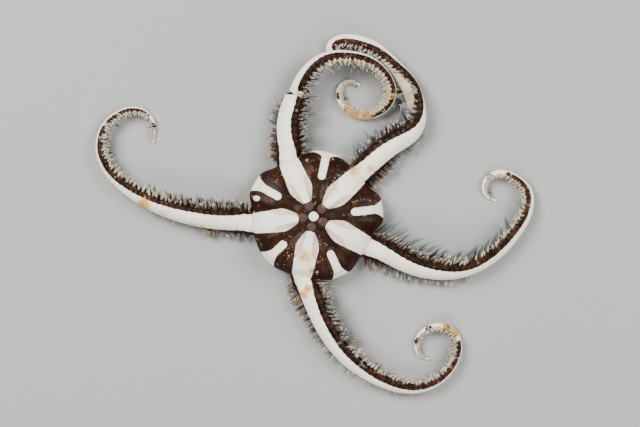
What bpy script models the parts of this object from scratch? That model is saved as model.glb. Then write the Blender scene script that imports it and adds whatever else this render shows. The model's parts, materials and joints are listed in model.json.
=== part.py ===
"""A brittle star at rest: a round five-rayed disc and five tapering arms, curled flat on the floor.

Sizes are in millimetres up to the moment a mesh is made, which is in metres. Plan places are
measured from the middle of the disc, +X to the right, +Y up the page, +Z up from the floor.
"""

import math
import random
from collections import namedtuple

import bmesh
import bpy
import numpy as np
from mathutils import Vector

MM = 0.001

# The middle of the disc, as seen from the middle of the whole animal's outline
DISC_CENTRE = (-0.2, -0.4)

# Disc
RAY_COUNT = 5
RAY_STEP = 360.0 / RAY_COUNT
FIRST_RAY = 42.5
ROOT_RADIUS = 7.6
LOBE_RADII = (8.25, 8.5, 8.0, 8.2, 8.7)
SOCKET_HALF_ANGLE = 14.0
LOBE_FULL_ANGLE = 27.0
DISC_HEIGHT = 4.1
DOME_CURVE = (2.6, 0.53)
RIM_FADE = 0.9
DISC_WAIST = 1.6
DISC_FOOT = 0.84
DISC_COLUMNS = 60
DOME_ROWS = (0.12, 0.21, 0.3, 0.39, 0.48, 0.58, 0.68, 0.78, 0.87, 0.94, 0.985)
SIDE_ROWS = (1.0, 0.975, 0.92)
SOLE_ROWS = (DISC_FOOT, 0.62, 0.44, 0.32, 0.2, 0.1)

# Bands and swellings on the back of the disc
STRIPE_TIP = 1.85
STRIPE_TIP_HALF_WIDTH = 0.4
STRIPE_SWELL = 0.8
STRIPE_WIDEST = 3.7
STRIPE_HALF_WIDTH = 1.45
STRIPE_ROOT_HALF_WIDTH = 1.22
STRIPE_RISE = 0.42
STRIPE_CREST = 0.5
NARROWEST_SLOPE = 0.2
SHIELD_PLACE = (5.7, 21.5)
SHIELD_SPAN = (2.2, 8.0)
SHIELD_RISE = 0.34
BAND_RISE = 0.14
BAND_START = (4.1, 4.9)
BAND_EDGE = (0.45, 0.95)
GROOVE_DEPTH = 0.22
GROOVE_START = (1.8, 2.8)
GROOVE_END = (4.2, 5.0)
GROOVE_EDGE = (0.2, 1.0)

# Small plates round the middle of the back
CENTRE_PLATE_RADIUS = 0.64
RING_PLATE_RADIUS = 0.57
RING_PLATE_PLACE = 1.36
PLATE_RISE = 0.2
PLATE_SINK = 0.5
PLATE_TOP_SHARE = 0.72
PLATE_SIDES = 10

# Mouth: a star-shaped hollow between five jaws
MOUTH_REACH = 3.0
JAW_REACH = 1.1
MOUTH_DEPTH = 1.1
MOUTH_ROOF = 0.35
JAW_CURVE = 0.7

# Arms
ARM_HEIGHT_RATIO = 0.88
ARM_TAPER = 0.6
ARM_ROOT_PINCH = 0.9
ARM_PINCH_LENGTH = 3.0
ARM_SIDES = 10
RING_SPACING = (0.4, 0.5)
TIP_RADIUS = 0.16
STUB_INNER = -3.2
STUB_OUTER = 0.9
NODE_GAP = 0.3
BODY_SINK = 0.05
FLAT_HEIGHT = 0.14
PATH_STEP = 0.05
REGROWN_RADIUS = 0.8

# How far out, and with what roll, the middle line of an arm sets off along its ray
PATH_START = ((4.2, 0.0), (ROOT_RADIUS, 8.0))

# Spines, in rows along each side: the angle round the arm from the middle of its back
# (positive towards the outside of the curl), the length at the arm's root and the share of
# the arm that the row covers
SPINE_ROWS = (
    (-92.0, 1.9, 1.0),
    (-126.0, 1.1, 1.0),
    (94.0, 1.7, 0.42),
)
SPINE_SPACING = 1.0
SPINE_TIP_SPACING = 0.72
SPINE_TIP_SCALE = 0.3
SPINE_WIDTH = 0.54
SPINE_SHOULDER = (0.6, 0.8)
SPINE_SINK = 0.35
SPINE_END_MARGIN = 0.45
SPINE_CLEARANCE = 0.6
SPINE_SHORTEST = 0.35
SPINE_STEP = 0.15
SPINE_TILT = 6.0
SPINE_LEAN = (-0.1, 0.15)
SPINE_VARIATION = (0.85, 1.1)
SPINE_RISE = 0.35
SPINE_LEAST_RISE = 0.04
SPINE_LEAST_SIDEWAYS = 0.8
TIP_WIDTH_SHARE = 0.75
OUTER_SHRINK = 0.6
LONG_SPINE = 1.0
FLOOR_CLEARANCE = 0.15
ROOT_HEIGHT = 0.45
ROOT_HEIGHT_SHARE = 0.8
STEEPEST_ROOT = 112.0
FLATTEST_ROOT = 44.0
TURN_EASE = 0.95
THINNEST_SPINY_RADIUS = 0.36
BALL_SPACING = 0.4
OWN_STRETCH = 4.0
RANDOM_SEED = 7

Arm = namedtuple("Arm", "name ray radius curl regrown cuts stations")

# A curl of 1 turns left on the way out, -1 turns right. A regrown arm is thinner from its
# healed break on. Each station is x, y, the roll of the back towards the outside of the curl,
# and the lift off the floor.
ARMS = (
    Arm("arm_left", 2, 1.65, -1, None, (5.5, 11.5, 17.0, 21.5, 25.5, 29.0), (
        (-9.5, -0.45, 24, 0),
        (-11.8, -0.25, 34, 0),
        (-15.8, 0.35, 38, 0),
        (-19.95, 1.75, 50, 0),
        (-23.5, 3.85, 65, 0),
        (-25.6, 6.0, 78, 0),
        (-26.55, 8.35, 86, 0),
        (-26.0, 11.15, 89, 0),
        (-24.75, 12.5, 85, 0),
        (-22.95, 13.3, 82, 0),
        (-21.1, 12.9, 84, 0),
        (-20.15, 11.65, 84, 0),
        (-20.1, 10.4, 87, 0),
        (-20.1, 9.35, 90, 0),
    )),
    Arm("arm_upper_left", 1, 1.65, -1, 8.35, (4.2, 8.35, 14.0, 19.0, 23.0, 26.8, 30.3, 33.8), (
        (-3.1, 8.9, 24, 0),
        (-3.2, 10.9, 34, 0),
        (-2.95, 13.0, 38, 0),
        (-2.4, 14.5, 42, 0.1),
        (-1.85, 16.0, 58, 0.6),
        (-0.9, 17.7, 66, 1.3),
        (1.7, 19.65, 80, 1.75),
        (4.5, 19.85, 86, 1.75),
        (7.2, 19.1, 92, 1.65),
        (8.9, 17.6, 100, 1.25),
        (9.7, 15.8, 104, 0.8),
        (9.25, 14.1, 102, 0.4),
        (7.7, 12.9, 99, 0.1),
        (6.0, 12.65, 96, 0),
        (4.3, 13.4, 93, 0),
        (3.2, 14.8, 90, 0),
        (3.2, 16.1, 90, 0),
        (3.9, 16.85, 90, 0),
        (4.8, 17.0, 90, 0),
        (5.8, 16.5, 90, 0),
    )),
    Arm("arm_upper_right", 0, 1.65, 1, None,
        (4.5, 8.6, 12.0, 16.0, 20.0, 24.0, 27.2, 29.6, 33.0), (
            (7.5, 7.05, 12, 0),
            (9.8, 9.05, 28, 0),
            (11.9, 10.45, 42, 0),
            (12.75, 11.7, 64, 0),
            (12.85, 13.6, 96, 0),
            (12.3, 15.7, 114, 0),
            (11.4, 17.2, 110, 0),
            (10.0, 18.8, 92, 0),
            (8.3, 20.55, 75, 0),
            (6.6, 21.55, 62, 0),
            (4.5, 22.1, 60, 0),
            (3.15, 22.0, 62, 0),
            (2.35, 21.45, 56, 0),
            (2.25, 20.75, 36, 0),
            (2.8, 20.1, 26, 0),
            (4.0, 19.8, 16, 0),
            (5.5, 19.6, 8, 0),
            (7.0, 19.05, 0, 0),
            (8.25, 18.0, 0, 0),
            (9.0, 16.7, 0, 0),
            (9.3, 15.6, 0, 0),
        )),
    Arm("arm_right", 4, 1.6, 1, None, (6.0, 12.5, 18.5, 23.5, 27.5, 31.0), (
        (8.95, -4.4, 24, 0),
        (11.25, -5.5, 38, 0),
        (14.2, -6.5, 47, 0),
        (17.0, -6.75, 57, 0),
        (19.35, -6.35, 67, 0),
        (21.5, -5.35, 67, 0),
        (23.85, -3.5, 64, 0),
        (25.2, -1.9, 66, 0),
        (26.2, -0.45, 67, 0),
        (26.8, 1.0, 68, 0),
        (26.95, 2.4, 70, 0),
        (26.6, 3.55, 76, 0),
        (25.6, 4.5, 84, 0),
        (24.15, 5.3, 90, 0),
        (22.55, 5.25, 90, 0),
        (21.55, 4.4, 90, 0),
        (21.4, 3.5, 90, 0),
        (21.85, 2.5, 90, 0),
        (22.9, 2.0, 90, 0),
    )),
    Arm("arm_lower", 3, 1.5, 1, None, (6.5, 13.5, 20.0, 25.5, 30.0, 33.8, 37.2), (
        (-0.65, -9.2, 24, 0),
        (0.55, -11.85, 42, 0),
        (2.0, -14.7, 46, 0),
        (3.9, -17.2, 50, 0),
        (6.4, -19.25, 56, 0),
        (8.7, -20.5, 63, 0),
        (11.0, -21.25, 69, 0),
        (13.2, -21.3, 76, 0),
        (15.35, -20.5, 84, 0),
        (17.25, -18.65, 90, 0),
        (17.95, -16.95, 94, 0),
        (17.9, -15.35, 94, 0),
        (17.1, -14.25, 92, 0),
        (15.45, -13.8, 90, 0),
        (14.0, -14.3, 90, 0),
        (13.1, -15.2, 90, 0),
        (12.9, -16.4, 90, 0),
        (13.3, -17.4, 90, 0),
        (14.4, -17.9, 90, 0),
    )),
)


def smoothstep(low, high, value):
    t = np.clip((value - low) / (high - low), 0.0, 1.0)
    return t * t * (3.0 - 2.0 * t)


def ray_offset(angle):
    """Signed angle in degrees from the nearest ray."""
    return (angle - FIRST_RAY + RAY_STEP / 2) % RAY_STEP - RAY_STEP / 2


def margin_radius(angle):
    """Radius of the disc's outline: flat sockets on the rays, round lobes between them."""
    offset = abs(ray_offset(angle))
    lobe = LOBE_RADII[int((angle - FIRST_RAY) % 360.0 // RAY_STEP)]
    socket = ROOT_RADIUS / math.cos(math.radians(min(offset, SOCKET_HALF_ANGLE)))
    return socket + (lobe - socket) * smoothstep(SOCKET_HALF_ANGLE, LOBE_FULL_ANGLE, offset)


def stripe_half_width(along):
    if along < STRIPE_TIP:
        return 0.0
    if along < STRIPE_WIDEST:
        share = (along - STRIPE_TIP) / (STRIPE_WIDEST - STRIPE_TIP)
        swell = (STRIPE_HALF_WIDTH - STRIPE_TIP_HALF_WIDTH) * share ** STRIPE_SWELL
        return STRIPE_TIP_HALF_WIDTH + swell
    outward = (along - STRIPE_WIDEST) / (ROOT_RADIUS - STRIPE_WIDEST)
    return STRIPE_HALF_WIDTH + (STRIPE_ROOT_HALF_WIDTH - STRIPE_HALF_WIDTH) * outward


def back_relief(radius, angle):
    """Height of the stripes, shields, bands and grooves above the smooth dome."""
    offset = ray_offset(angle)
    along = radius * math.cos(math.radians(offset))
    across = abs(radius * math.sin(math.radians(offset)))
    half = stripe_half_width(along)
    stripe = 0.0
    if half > 0:
        slope = max(half - STRIPE_CREST, NARROWEST_SLOPE)
        stripe = STRIPE_RISE * float(np.clip((half - across) / slope, 0, 1))
    shield = SHIELD_RISE * math.exp(-((radius - SHIELD_PLACE[0]) / SHIELD_SPAN[0]) ** 2
                                    - ((abs(offset) - SHIELD_PLACE[1]) / SHIELD_SPAN[1]) ** 2)
    between = math.radians(RAY_STEP / 2 - abs(offset))
    side = radius * math.sin(between)
    band = BAND_RISE * smoothstep(*BAND_START, radius) * (1.0 - smoothstep(*BAND_EDGE, side))
    groove = GROOVE_DEPTH * smoothstep(*GROOVE_START, radius) * (1 - smoothstep(*GROOVE_END, radius))
    groove *= 1.0 - smoothstep(*GROOVE_EDGE, side)
    return max(stripe, shield) + band - groove


def dome_height(share):
    inner, outer = DOME_CURVE
    return DISC_WAIST + (DISC_HEIGHT - DISC_WAIST) * (1.0 - share ** inner) ** outer


def back_height(radius, angle):
    """Height of the back of the disc at a place inside its outline."""
    share = min(radius / margin_radius(angle), 1.0)
    fade = 1.0 - smoothstep(RIM_FADE, 1.0, share)
    return dome_height(share) + fade * back_relief(radius, angle)


def sole_height(radius, angle):
    """Height of the under side: flat on the floor, hollowed by the star-shaped mouth."""
    offset = abs(ray_offset(angle)) / (RAY_STEP / 2)
    reach = MOUTH_REACH + (JAW_REACH - MOUTH_REACH) * offset ** JAW_CURVE
    return MOUTH_DEPTH * float(1.0 - smoothstep(MOUTH_ROOF, 1.0, radius / reach))


def polar(radius, angle):
    turn = math.radians(angle)
    return radius * math.cos(turn), radius * math.sin(turn)


def natural_spline(stations, step):
    """Points every step or so along a natural cubic spline through the stations."""
    values = np.array(stations, dtype=float)
    spans = np.linalg.norm(np.diff(values[:, :2], axis=0), axis=1)
    knots = np.concatenate(([0.0], np.cumsum(spans)))
    count = len(knots)
    matrix = np.eye(count)
    pull = np.zeros_like(values)
    slopes = np.diff(values, axis=0) / spans[:, None]
    for i in range(1, count - 1):
        matrix[i, i - 1] = spans[i - 1]
        matrix[i, i] = 2.0 * (spans[i - 1] + spans[i])
        matrix[i, i + 1] = spans[i]
        pull[i] = 6.0 * (slopes[i] - slopes[i - 1])
    bends = np.linalg.solve(matrix, pull)
    place = np.linspace(0.0, knots[-1], int(knots[-1] / step) + 1)
    left = np.clip(np.searchsorted(knots, place, side="right") - 1, 0, count - 2)
    span = spans[left][:, None]
    a = (knots[left + 1] - place)[:, None] / span
    b = 1.0 - a
    line = a * values[left] + b * values[left + 1]
    curve = ((a ** 3 - a) * bends[left] + (b ** 3 - b) * bends[left + 1]) * span ** 2 / 6.0
    return line + curve


class Path:
    """The smooth middle line of one arm, measured along from the disc's margin."""

    def __init__(self, arm):
        ray = FIRST_RAY + RAY_STEP * arm.ray
        start = [(*polar(reach, ray), roll, 0.0) for reach, roll in PATH_START]
        points = natural_spline(start + list(arm.stations), PATH_STEP)
        steps = np.linalg.norm(np.diff(points[:, :2], axis=0), axis=1)
        along = np.concatenate(([0.0], np.cumsum(steps)))
        root = np.argmax(np.hypot(points[:, 0], points[:, 1]) >= ROOT_RADIUS)
        self.arm = arm
        self.along = along - along[root]
        self.length = self.along[-1]
        self.points = points
        heading = np.arctan2(np.gradient(points[:, 1]), np.gradient(points[:, 0]))
        self.heading = np.unwrap(heading)

    def radius(self, along):
        """Half the width of the arm."""
        share = np.clip(1.0 - along / self.length, 0.0, 1.0)
        size = self.arm.radius * share ** ARM_TAPER if along > 0 else self.arm.radius
        pinch = ARM_ROOT_PINCH + (1 - ARM_ROOT_PINCH) * smoothstep(0, ARM_PINCH_LENGTH, along)
        if self.arm.regrown is not None and along > self.arm.regrown:
            size *= REGROWN_RADIUS
        return max(size * pinch, TIP_RADIUS)

    def frame(self, along):
        """Plan place, unit heading, unit way out of the curl, roll and lift."""
        x, y, roll, lift = (np.interp(along, self.along, column) for column in self.points.T)
        turn = np.interp(along, self.along, self.heading)
        ahead = np.array((math.cos(turn), math.sin(turn)))
        outward = self.arm.curl * np.array((ahead[1], -ahead[0]))
        return np.array((x, y)), ahead, outward, math.radians(roll), max(lift, 0.0)

    def reach(self, along, roll, turn):
        """Distance from the middle line to the skin, at an angle from straight up."""
        size = self.radius(along)
        angle = turn - roll
        flat = math.cos(angle) / (size * ARM_HEIGHT_RATIO)
        return 1.0 / math.hypot(flat, math.sin(angle) / size)

    def middle_height(self, along):
        """Height of the middle line, with the skin just pressed onto the floor."""
        roll, lift = self.frame(along)[3:]
        size = self.radius(along)
        drop = math.hypot(size * math.sin(roll), size * ARM_HEIGHT_RATIO * math.cos(roll))
        return drop * (1.0 - BODY_SINK) + lift

    def skin_point(self, along, turn):
        """A point of the skin and its outward direction, at an angle from straight up."""
        place, ahead, outward, roll, lift = self.frame(along)
        reach = self.reach(along, roll, turn)
        height = self.middle_height(along) + reach * math.cos(turn)
        flat = place + outward * reach * math.sin(turn)
        if height < FLAT_HEIGHT:
            height = 0.0
        normal = np.array((*(outward * math.sin(turn)), math.cos(turn)))
        return np.array((flat[0], flat[1], height)), normal


def to_metres(point):
    x, y, z = point
    return Vector(((x + DISC_CENTRE[0]) * MM, (y + DISC_CENTRE[1]) * MM, z * MM))


def clear_scene():
    for item in list(bpy.data.objects):
        bpy.data.objects.remove(item, do_unlink=True)


def finish_material(name, colour, roughness):
    material = bpy.data.materials.new(name)
    material.use_nodes = True
    shader = material.node_tree.nodes["Principled BSDF"]
    shader.inputs["Base Color"].default_value = (*colour, 1.0)
    shader.inputs["Roughness"].default_value = roughness
    shader.inputs["Metallic"].default_value = 0.0
    return material


def object_from(name, bm):
    """A closed, outward-facing mesh object made from triangles."""
    bmesh.ops.triangulate(bm, faces=bm.faces[:])
    bmesh.ops.recalc_face_normals(bm, faces=bm.faces[:])
    mesh = bpy.data.meshes.new(name)
    bm.to_mesh(mesh)
    bm.free()
    item = bpy.data.objects.new(name, mesh)
    bpy.context.scene.collection.objects.link(item)
    return item


def skin_rings(bm, rings):
    """Faces between rings of equal count, in order."""
    for low, high in zip(rings, rings[1:]):
        count = len(low)
        for i in range(count):
            j = (i + 1) % count
            bm.faces.new((low[i], low[j], high[j], high[i]))


def fan(bm, ring, point):
    top = bm.verts.new(to_metres(point))
    for i, vert in enumerate(ring):
        bm.faces.new((vert, ring[(i + 1) % len(ring)], top))


def arm_ring(bm, path, along):
    turns = [2.0 * math.pi * (i + 0.5) / ARM_SIDES for i in range(ARM_SIDES)]
    return [bm.verts.new(to_metres(path.skin_point(along, turn)[0])) for turn in turns]


def arm_length(name, path, start, end):
    """One length of an arm, with flat ends, or a pointed one at the tip."""
    bm = bmesh.new()
    base, growth = RING_SPACING
    spacing = base + growth * path.radius((start + end) / 2)
    count = max(2, round((end - start) / spacing))
    places = np.linspace(start, end, count + 1)
    rings = [arm_ring(bm, path, along) for along in places]
    skin_rings(bm, rings)
    bm.faces.new(rings[0])
    bm.faces.new(rings[-1])
    return object_from(name, bm)


def lengths_of(path):
    """Start and end of each length of an arm, a gap apart."""
    half = NODE_GAP / 2
    edges = [STUB_OUTER + half, *path.arm.cuts, path.length + half]
    return [(start + half, end - half) for start, end in zip(edges, edges[1:])]


def disc_body():
    """The dome, the rounded margin and the sole as one surface of rings."""
    bm = bmesh.new()
    angles = [FIRST_RAY + 360.0 * i / DISC_COLUMNS for i in range(DISC_COLUMNS)]
    rings = []
    for share in DOME_ROWS:
        radii = [share * margin_radius(a) for a in angles]
        rings.append([(*polar(r, a), back_height(r, a)) for r, a in zip(radii, angles)])
    for share in SIDE_ROWS:
        inward = (share - DISC_FOOT) / (1.0 - DISC_FOOT)
        height = DISC_WAIST * (1.0 - math.sqrt(max(0.0, 1.0 - inward ** 2)))
        rings.append([(*polar(share * margin_radius(a), a), height) for a in angles])
    for share in SOLE_ROWS:
        radii = [share * margin_radius(a) for a in angles]
        rings.append([(*polar(r, a), sole_height(r, a)) for r, a in zip(radii, angles)])
    verts = [[bm.verts.new(to_metres(point)) for point in ring] for ring in rings]
    skin_rings(bm, verts)
    fan(bm, verts[0], (0.0, 0.0, DISC_HEIGHT))
    fan(bm, verts[-1], (0.0, 0.0, MOUTH_DEPTH))
    return object_from("disc", bm)


def plate(radius, place, angle):
    """A low round plate with a bevelled rim, sunk into the back of the disc."""
    bm = bmesh.new()
    x, y = polar(place, angle)
    top = dome_height(place / ROOT_RADIUS) + PLATE_RISE
    rings = []
    for size, height in ((1.0, top - PLATE_SINK), (1.0, top - PLATE_RISE / 2), (PLATE_TOP_SHARE, top)):
        ring = []
        for i in range(PLATE_SIDES):
            dx, dy = polar(radius * size, 360.0 * i / PLATE_SIDES + angle)
            ring.append(bm.verts.new(to_metres((x + dx, y + dy, height))))
        rings.append(ring)
    skin_rings(bm, rings)
    bm.faces.new(rings[0])
    bm.faces.new(rings[-1])
    return object_from("plate", bm)


def back_plates():
    plates = [plate(CENTRE_PLATE_RADIUS, 0.0, FIRST_RAY)]
    for i in range(RAY_COUNT):
        plates.append(plate(RING_PLATE_RADIUS, RING_PLATE_PLACE, FIRST_RAY + RAY_STEP * i))
    return plates


def fuse(body, pieces):
    """Joins the pieces to the body by one Boolean union and keeps its largest closed surface."""
    group = bpy.data.collections.new(body.name + "_pieces")
    bpy.context.scene.collection.children.link(group)
    for piece in pieces:
        for owner in list(piece.users_collection):
            owner.objects.unlink(piece)
        group.objects.link(piece)
    union = body.modifiers.new("union", "BOOLEAN")
    union.operation = "UNION"
    union.operand_type = "COLLECTION"
    union.collection = group
    union.solver = "EXACT"
    graph = bpy.context.evaluated_depsgraph_get()
    mesh = bpy.data.meshes.new_from_object(body.evaluated_get(graph))
    body.modifiers.remove(union)
    body.data = mesh
    for piece in list(group.objects):
        bpy.data.objects.remove(piece, do_unlink=True)
    bpy.data.collections.remove(group)
    keep_largest(body)


def keep_largest(body):
    """Deletes every loose shell but the one with the most volume."""
    bm = bmesh.new()
    bm.from_mesh(body.data)
    bmesh.ops.triangulate(bm, faces=bm.faces[:])
    shells = []
    left = set(bm.faces)
    while left:
        stack = [left.pop()]
        shell = list(stack)
        while stack:
            for edge in stack.pop().edges:
                for face in edge.link_faces:
                    if face in left:
                        left.remove(face)
                        stack.append(face)
                        shell.append(face)
        shells.append(shell)
    shells.sort(key=shell_volume, reverse=True)
    scraps = [face for shell in shells[1:] for face in shell]
    bmesh.ops.delete(bm, geom=scraps, context="FACES")
    bm.to_mesh(body.data)
    bm.free()


def shell_volume(faces):
    total = 0.0
    for face in faces:
        a, b, c = (vert.co for vert in face.verts)
        total += a.dot(b.cross(c)) / 6.0
    return abs(total)


def spine(root, ahead, direction, length, width):
    """A four-sided spine that tapers to a point, its root sunk into the skin."""
    bm = bmesh.new()
    side = np.cross(direction, ahead)
    side /= np.linalg.norm(side)
    other = np.cross(side, direction)
    profile = [(-SPINE_SINK, width)]
    if length > LONG_SPINE:
        profile.append((length * SPINE_SHOULDER[0], width * SPINE_SHOULDER[1]))
    rings = []
    for reach, breadth in profile:
        middle = root + direction * reach
        corners = ((1, 1), (-1, 1), (-1, -1), (1, -1))
        ring = [middle + (side * u + other * v) * breadth / 2 for u, v in corners]
        rings.append([bm.verts.new(to_metres(corner)) for corner in ring])
    skin_rings(bm, rings)
    bm.faces.new(rings[0])
    fan(bm, rings[-1], root + direction * length)
    return object_from("spine", bm)


class Crowd:
    """Every arm's middle line as a string of balls, to keep spines clear of them."""

    def __init__(self, paths):
        balls = []
        for index, path in enumerate(paths):
            for along in np.arange(0.0, path.length, BALL_SPACING):
                place = path.frame(along)[0]
                size = path.radius(along)
                balls.append((*place, path.middle_height(along), size, index, along))
        self.balls = np.array(balls)

    def is_clear(self, point, index, along):
        """True where a point stays off the floor, the disc and every other stretch of arm."""
        if point[2] < FLOOR_CLEARANCE:
            return False
        margin = margin_radius(math.degrees(math.atan2(point[1], point[0])))
        if along > STUB_OUTER and math.hypot(point[0], point[1]) < margin + SPINE_CLEARANCE:
            return False
        balls = self.balls
        own = (balls[:, 4] == index) & (abs(balls[:, 5] - along) < OWN_STRETCH)
        others = balls[~own]
        gaps = np.linalg.norm(others[:, :3] - point, axis=1) - others[:, 3]
        return bool(gaps.min() > SPINE_CLEARANCE)


def root_turn(path, along, angle):
    """Angle from straight up at which a spine leaves the skin, kept off the floor."""
    roll = math.degrees(path.frame(along)[3])
    turn = roll + angle
    if angle < 0:
        turn = min(turn, -FLATTEST_ROOT)
    turn = max(-STEEPEST_ROOT, min(STEEPEST_ROOT, turn))
    low = min(ROOT_HEIGHT, path.middle_height(along) * ROOT_HEIGHT_SHARE)
    while path.skin_point(along, math.radians(turn))[0][2] < low:
        turn *= TURN_EASE
    return math.radians(turn)


def spine_direction(path, along, turn, lean):
    """Mostly level and out from the arm's side, a little up and towards the arm's tip."""
    ahead, outward = path.frame(along)[1:3]
    side = math.copysign(max(abs(math.sin(turn)), SPINE_LEAST_SIDEWAYS), turn)
    level = outward * side + ahead * lean
    rise = SPINE_RISE * max(math.cos(turn), 0.0) + SPINE_LEAST_RISE
    direction = np.array((level[0], level[1], rise))
    return direction / np.linalg.norm(direction)


def row_places(path, start, end, late):
    """Even places along one length of an arm; a late row's roots fall between the others'."""
    first, last = start + SPINE_END_MARGIN, end - SPINE_END_MARGIN
    spread = (first + last) / 2 / path.length
    spacing = SPINE_SPACING + (SPINE_TIP_SPACING - SPINE_SPACING) * spread
    count = max(1, round((last - first) / spacing))
    step = (last - first) / count
    if late:
        return [first + step * (i + 0.5) for i in range(count)]
    return [first + step * i for i in range(count + 1)]


def arm_spines(path, index, crowd, start, end):
    """The spines whose roots lie on one length of an arm."""
    spines = []
    for row, (angle, root_length, share) in enumerate(SPINE_ROWS):
        draw = random.Random(f"{RANDOM_SEED} {index} {row} {start:.2f}")
        for along in row_places(path, start, end, row % 2):
            tilt = draw.uniform(-SPINE_TILT, SPINE_TILT)
            lean = draw.uniform(*SPINE_LEAN)
            size = draw.uniform(*SPINE_VARIATION)
            if along > path.length * share or path.radius(along) < THINNEST_SPINY_RADIUS:
                continue
            turn = root_turn(path, along, angle + tilt)
            root = path.skin_point(along, turn)[0]
            direction = spine_direction(path, along, turn, lean)
            scale = 1.0 + (SPINE_TIP_SCALE - 1.0) * along / path.length
            length = root_length * scale * size
            if angle > 0:
                length *= 1.0 - OUTER_SHRINK * math.sin(path.frame(along)[3])
            while length > SPINE_SHORTEST and not all(
                    crowd.is_clear(root + direction * reach, index, along)
                    for reach in np.arange(SPINE_STEP, length + SPINE_STEP, SPINE_STEP)):
                length -= SPINE_STEP
            if length <= SPINE_SHORTEST:
                continue
            width = SPINE_WIDTH * (TIP_WIDTH_SHARE + (1.0 - TIP_WIDTH_SHARE) * scale)
            ahead = np.array((*path.frame(along)[1], 0.0))
            spines.append(spine(root, ahead, direction, length, width))
    return spines


def build():
    clear_scene()
    skin = finish_material("brown_skin", (0.07, 0.025, 0.015), 0.35)
    banded = finish_material("ivory_back", (0.8, 0.76, 0.68), 0.45)
    paths = [Path(arm) for arm in ARMS]
    crowd = Crowd(paths)
    disc = disc_body()
    stubs = [arm_length("stub", path, STUB_INNER, STUB_OUTER) for path in paths]
    roots = [arm_spines(path, index, crowd, 0.0, STUB_OUTER) for index, path in enumerate(paths)]
    fuse(disc, back_plates() + stubs + sum(roots, []))
    disc.data.materials.append(skin)
    for index, path in enumerate(paths):
        for number, (start, end) in enumerate(lengths_of(path), 1):
            piece = arm_length(f"{path.arm.name}_{number}", path, start, end)
            spines = arm_spines(path, index, crowd, start, end)
            if spines:
                fuse(piece, spines)
            piece.data.materials.append(banded)


build()
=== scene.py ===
"""Finish and fine detail of a life-size brittle star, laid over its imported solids.

Sizes in the tables are millimetres, and plan places are measured from the middle of the disc.
"""

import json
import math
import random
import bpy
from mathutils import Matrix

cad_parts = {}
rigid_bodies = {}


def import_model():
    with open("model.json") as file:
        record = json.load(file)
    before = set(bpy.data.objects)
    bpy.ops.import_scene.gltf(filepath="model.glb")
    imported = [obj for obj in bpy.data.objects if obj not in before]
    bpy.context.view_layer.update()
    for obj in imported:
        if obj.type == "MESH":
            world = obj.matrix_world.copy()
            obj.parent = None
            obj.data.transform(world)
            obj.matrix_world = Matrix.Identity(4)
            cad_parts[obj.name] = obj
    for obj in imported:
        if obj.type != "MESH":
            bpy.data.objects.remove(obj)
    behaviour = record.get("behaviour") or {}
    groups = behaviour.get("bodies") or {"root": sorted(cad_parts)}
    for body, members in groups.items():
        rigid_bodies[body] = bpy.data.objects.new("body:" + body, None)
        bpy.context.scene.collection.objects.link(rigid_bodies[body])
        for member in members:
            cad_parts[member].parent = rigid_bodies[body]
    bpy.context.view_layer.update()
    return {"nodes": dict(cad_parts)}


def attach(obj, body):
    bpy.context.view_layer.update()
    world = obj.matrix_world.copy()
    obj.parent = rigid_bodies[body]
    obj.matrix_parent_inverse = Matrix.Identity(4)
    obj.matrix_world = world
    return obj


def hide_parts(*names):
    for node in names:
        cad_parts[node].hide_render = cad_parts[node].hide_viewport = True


bl_info = {
    "name": "Brittle Star",
    "version": (1, 0, 0),
    "blender": (4, 5, 0),
    "location": "View3D > Sidebar > Brittle Star",
    "description": "Skin, spines, mouth, grains and studio for a still brittle star",
    "category": "Object",
}

from collections import namedtuple

import bpy
import numpy as np
from mathutils import Vector
from mathutils.bvhtree import BVHTree

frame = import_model()

MM = 0.001
BODY = "root"
BAKE_MAP = "OFBake"

# Place of the disc's middle in the frame
DISC_CENTRE = (-0.2, -0.4)

# Disc
RAY_COUNT = 5
RAY_STEP = 360.0 / RAY_COUNT
FIRST_RAY = 42.5
ROOT_RADIUS = 7.6
LOBE_RADII = (8.25, 8.5, 8.0, 8.2, 8.7)
SOCKET_HALF_ANGLE = 14.0
LOBE_FULL_ANGLE = 27.0
DISC_HEIGHT = 4.1
DOME_CURVE = (2.6, 0.53)
RIM_FADE = 0.9
DISC_WAIST = 1.6
DISC_FOOT = 0.84
DISC_COLUMNS = 200
DOME_ROWS = 66
DOME_START = 0.012
RIM_ROWS = 16
RIM_START = 0.9
RIM_SPACING = 1.7
SIDE_ROWS = 12
SOLE_ROWS = 34
SOLE_END = 0.015

# Bands and swellings on the back of the disc
STRIPE_TIP = 1.85
STRIPE_TIP_HALF_WIDTH = 0.4
STRIPE_SWELL = 0.8
STRIPE_WIDEST = 3.7
STRIPE_HALF_WIDTH = 1.45
STRIPE_ROOT_HALF_WIDTH = 1.22
STRIPE_SHOULDER = 0.1
STRIPE_RISE = 0.42
STRIPE_CREST = 0.5
# Painted shade on the stripes' sloping sides: the unshaded ridge's half width at the tip and where
# the stripe is widest, where the shade widens out, and its margins
FACET_START = (0.3, 0.55)
FACET_END = (3.8, 6.8)
FACET_MARGINS = (0.3, 0.15)
STRIPE_TIP_SHARPNESS = 1.5
STRIPE_WIDENING = 0.4
NARROWEST_SLOPE = 0.2
SHIELD_PLACE = (5.7, 21.5)
SHIELD_SPAN = (2.2, 8.0)
SHIELD_RISE = 0.34
BAND_RISE = 0.14
BAND_START = (4.1, 4.9)
BAND_EDGE = (0.45, 0.95)
BAND_INNER_END = 4.65
BAND_HALF_WIDTH = 0.5
BAND_FLARES = (1.75, 0.62, 0.75, 0.62, 0.68)
BAND_FLARE_DEPTHS = (0.75, 1.5, 1.5, 1.3, 1.2)
BAND_FLARE_CURVE = 1.7
GROOVE_DEPTH = 0.22
GROOVE_START = (1.8, 2.8)
GROOVE_END = (4.2, 5.0)
GROOVE_EDGE = (0.2, 1.0)
OLIVE_START = (1.8, 2.4)
OLIVE_END = (4.6, 5.4)
OLIVE_EDGE = (0.3, 1.0)

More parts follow.
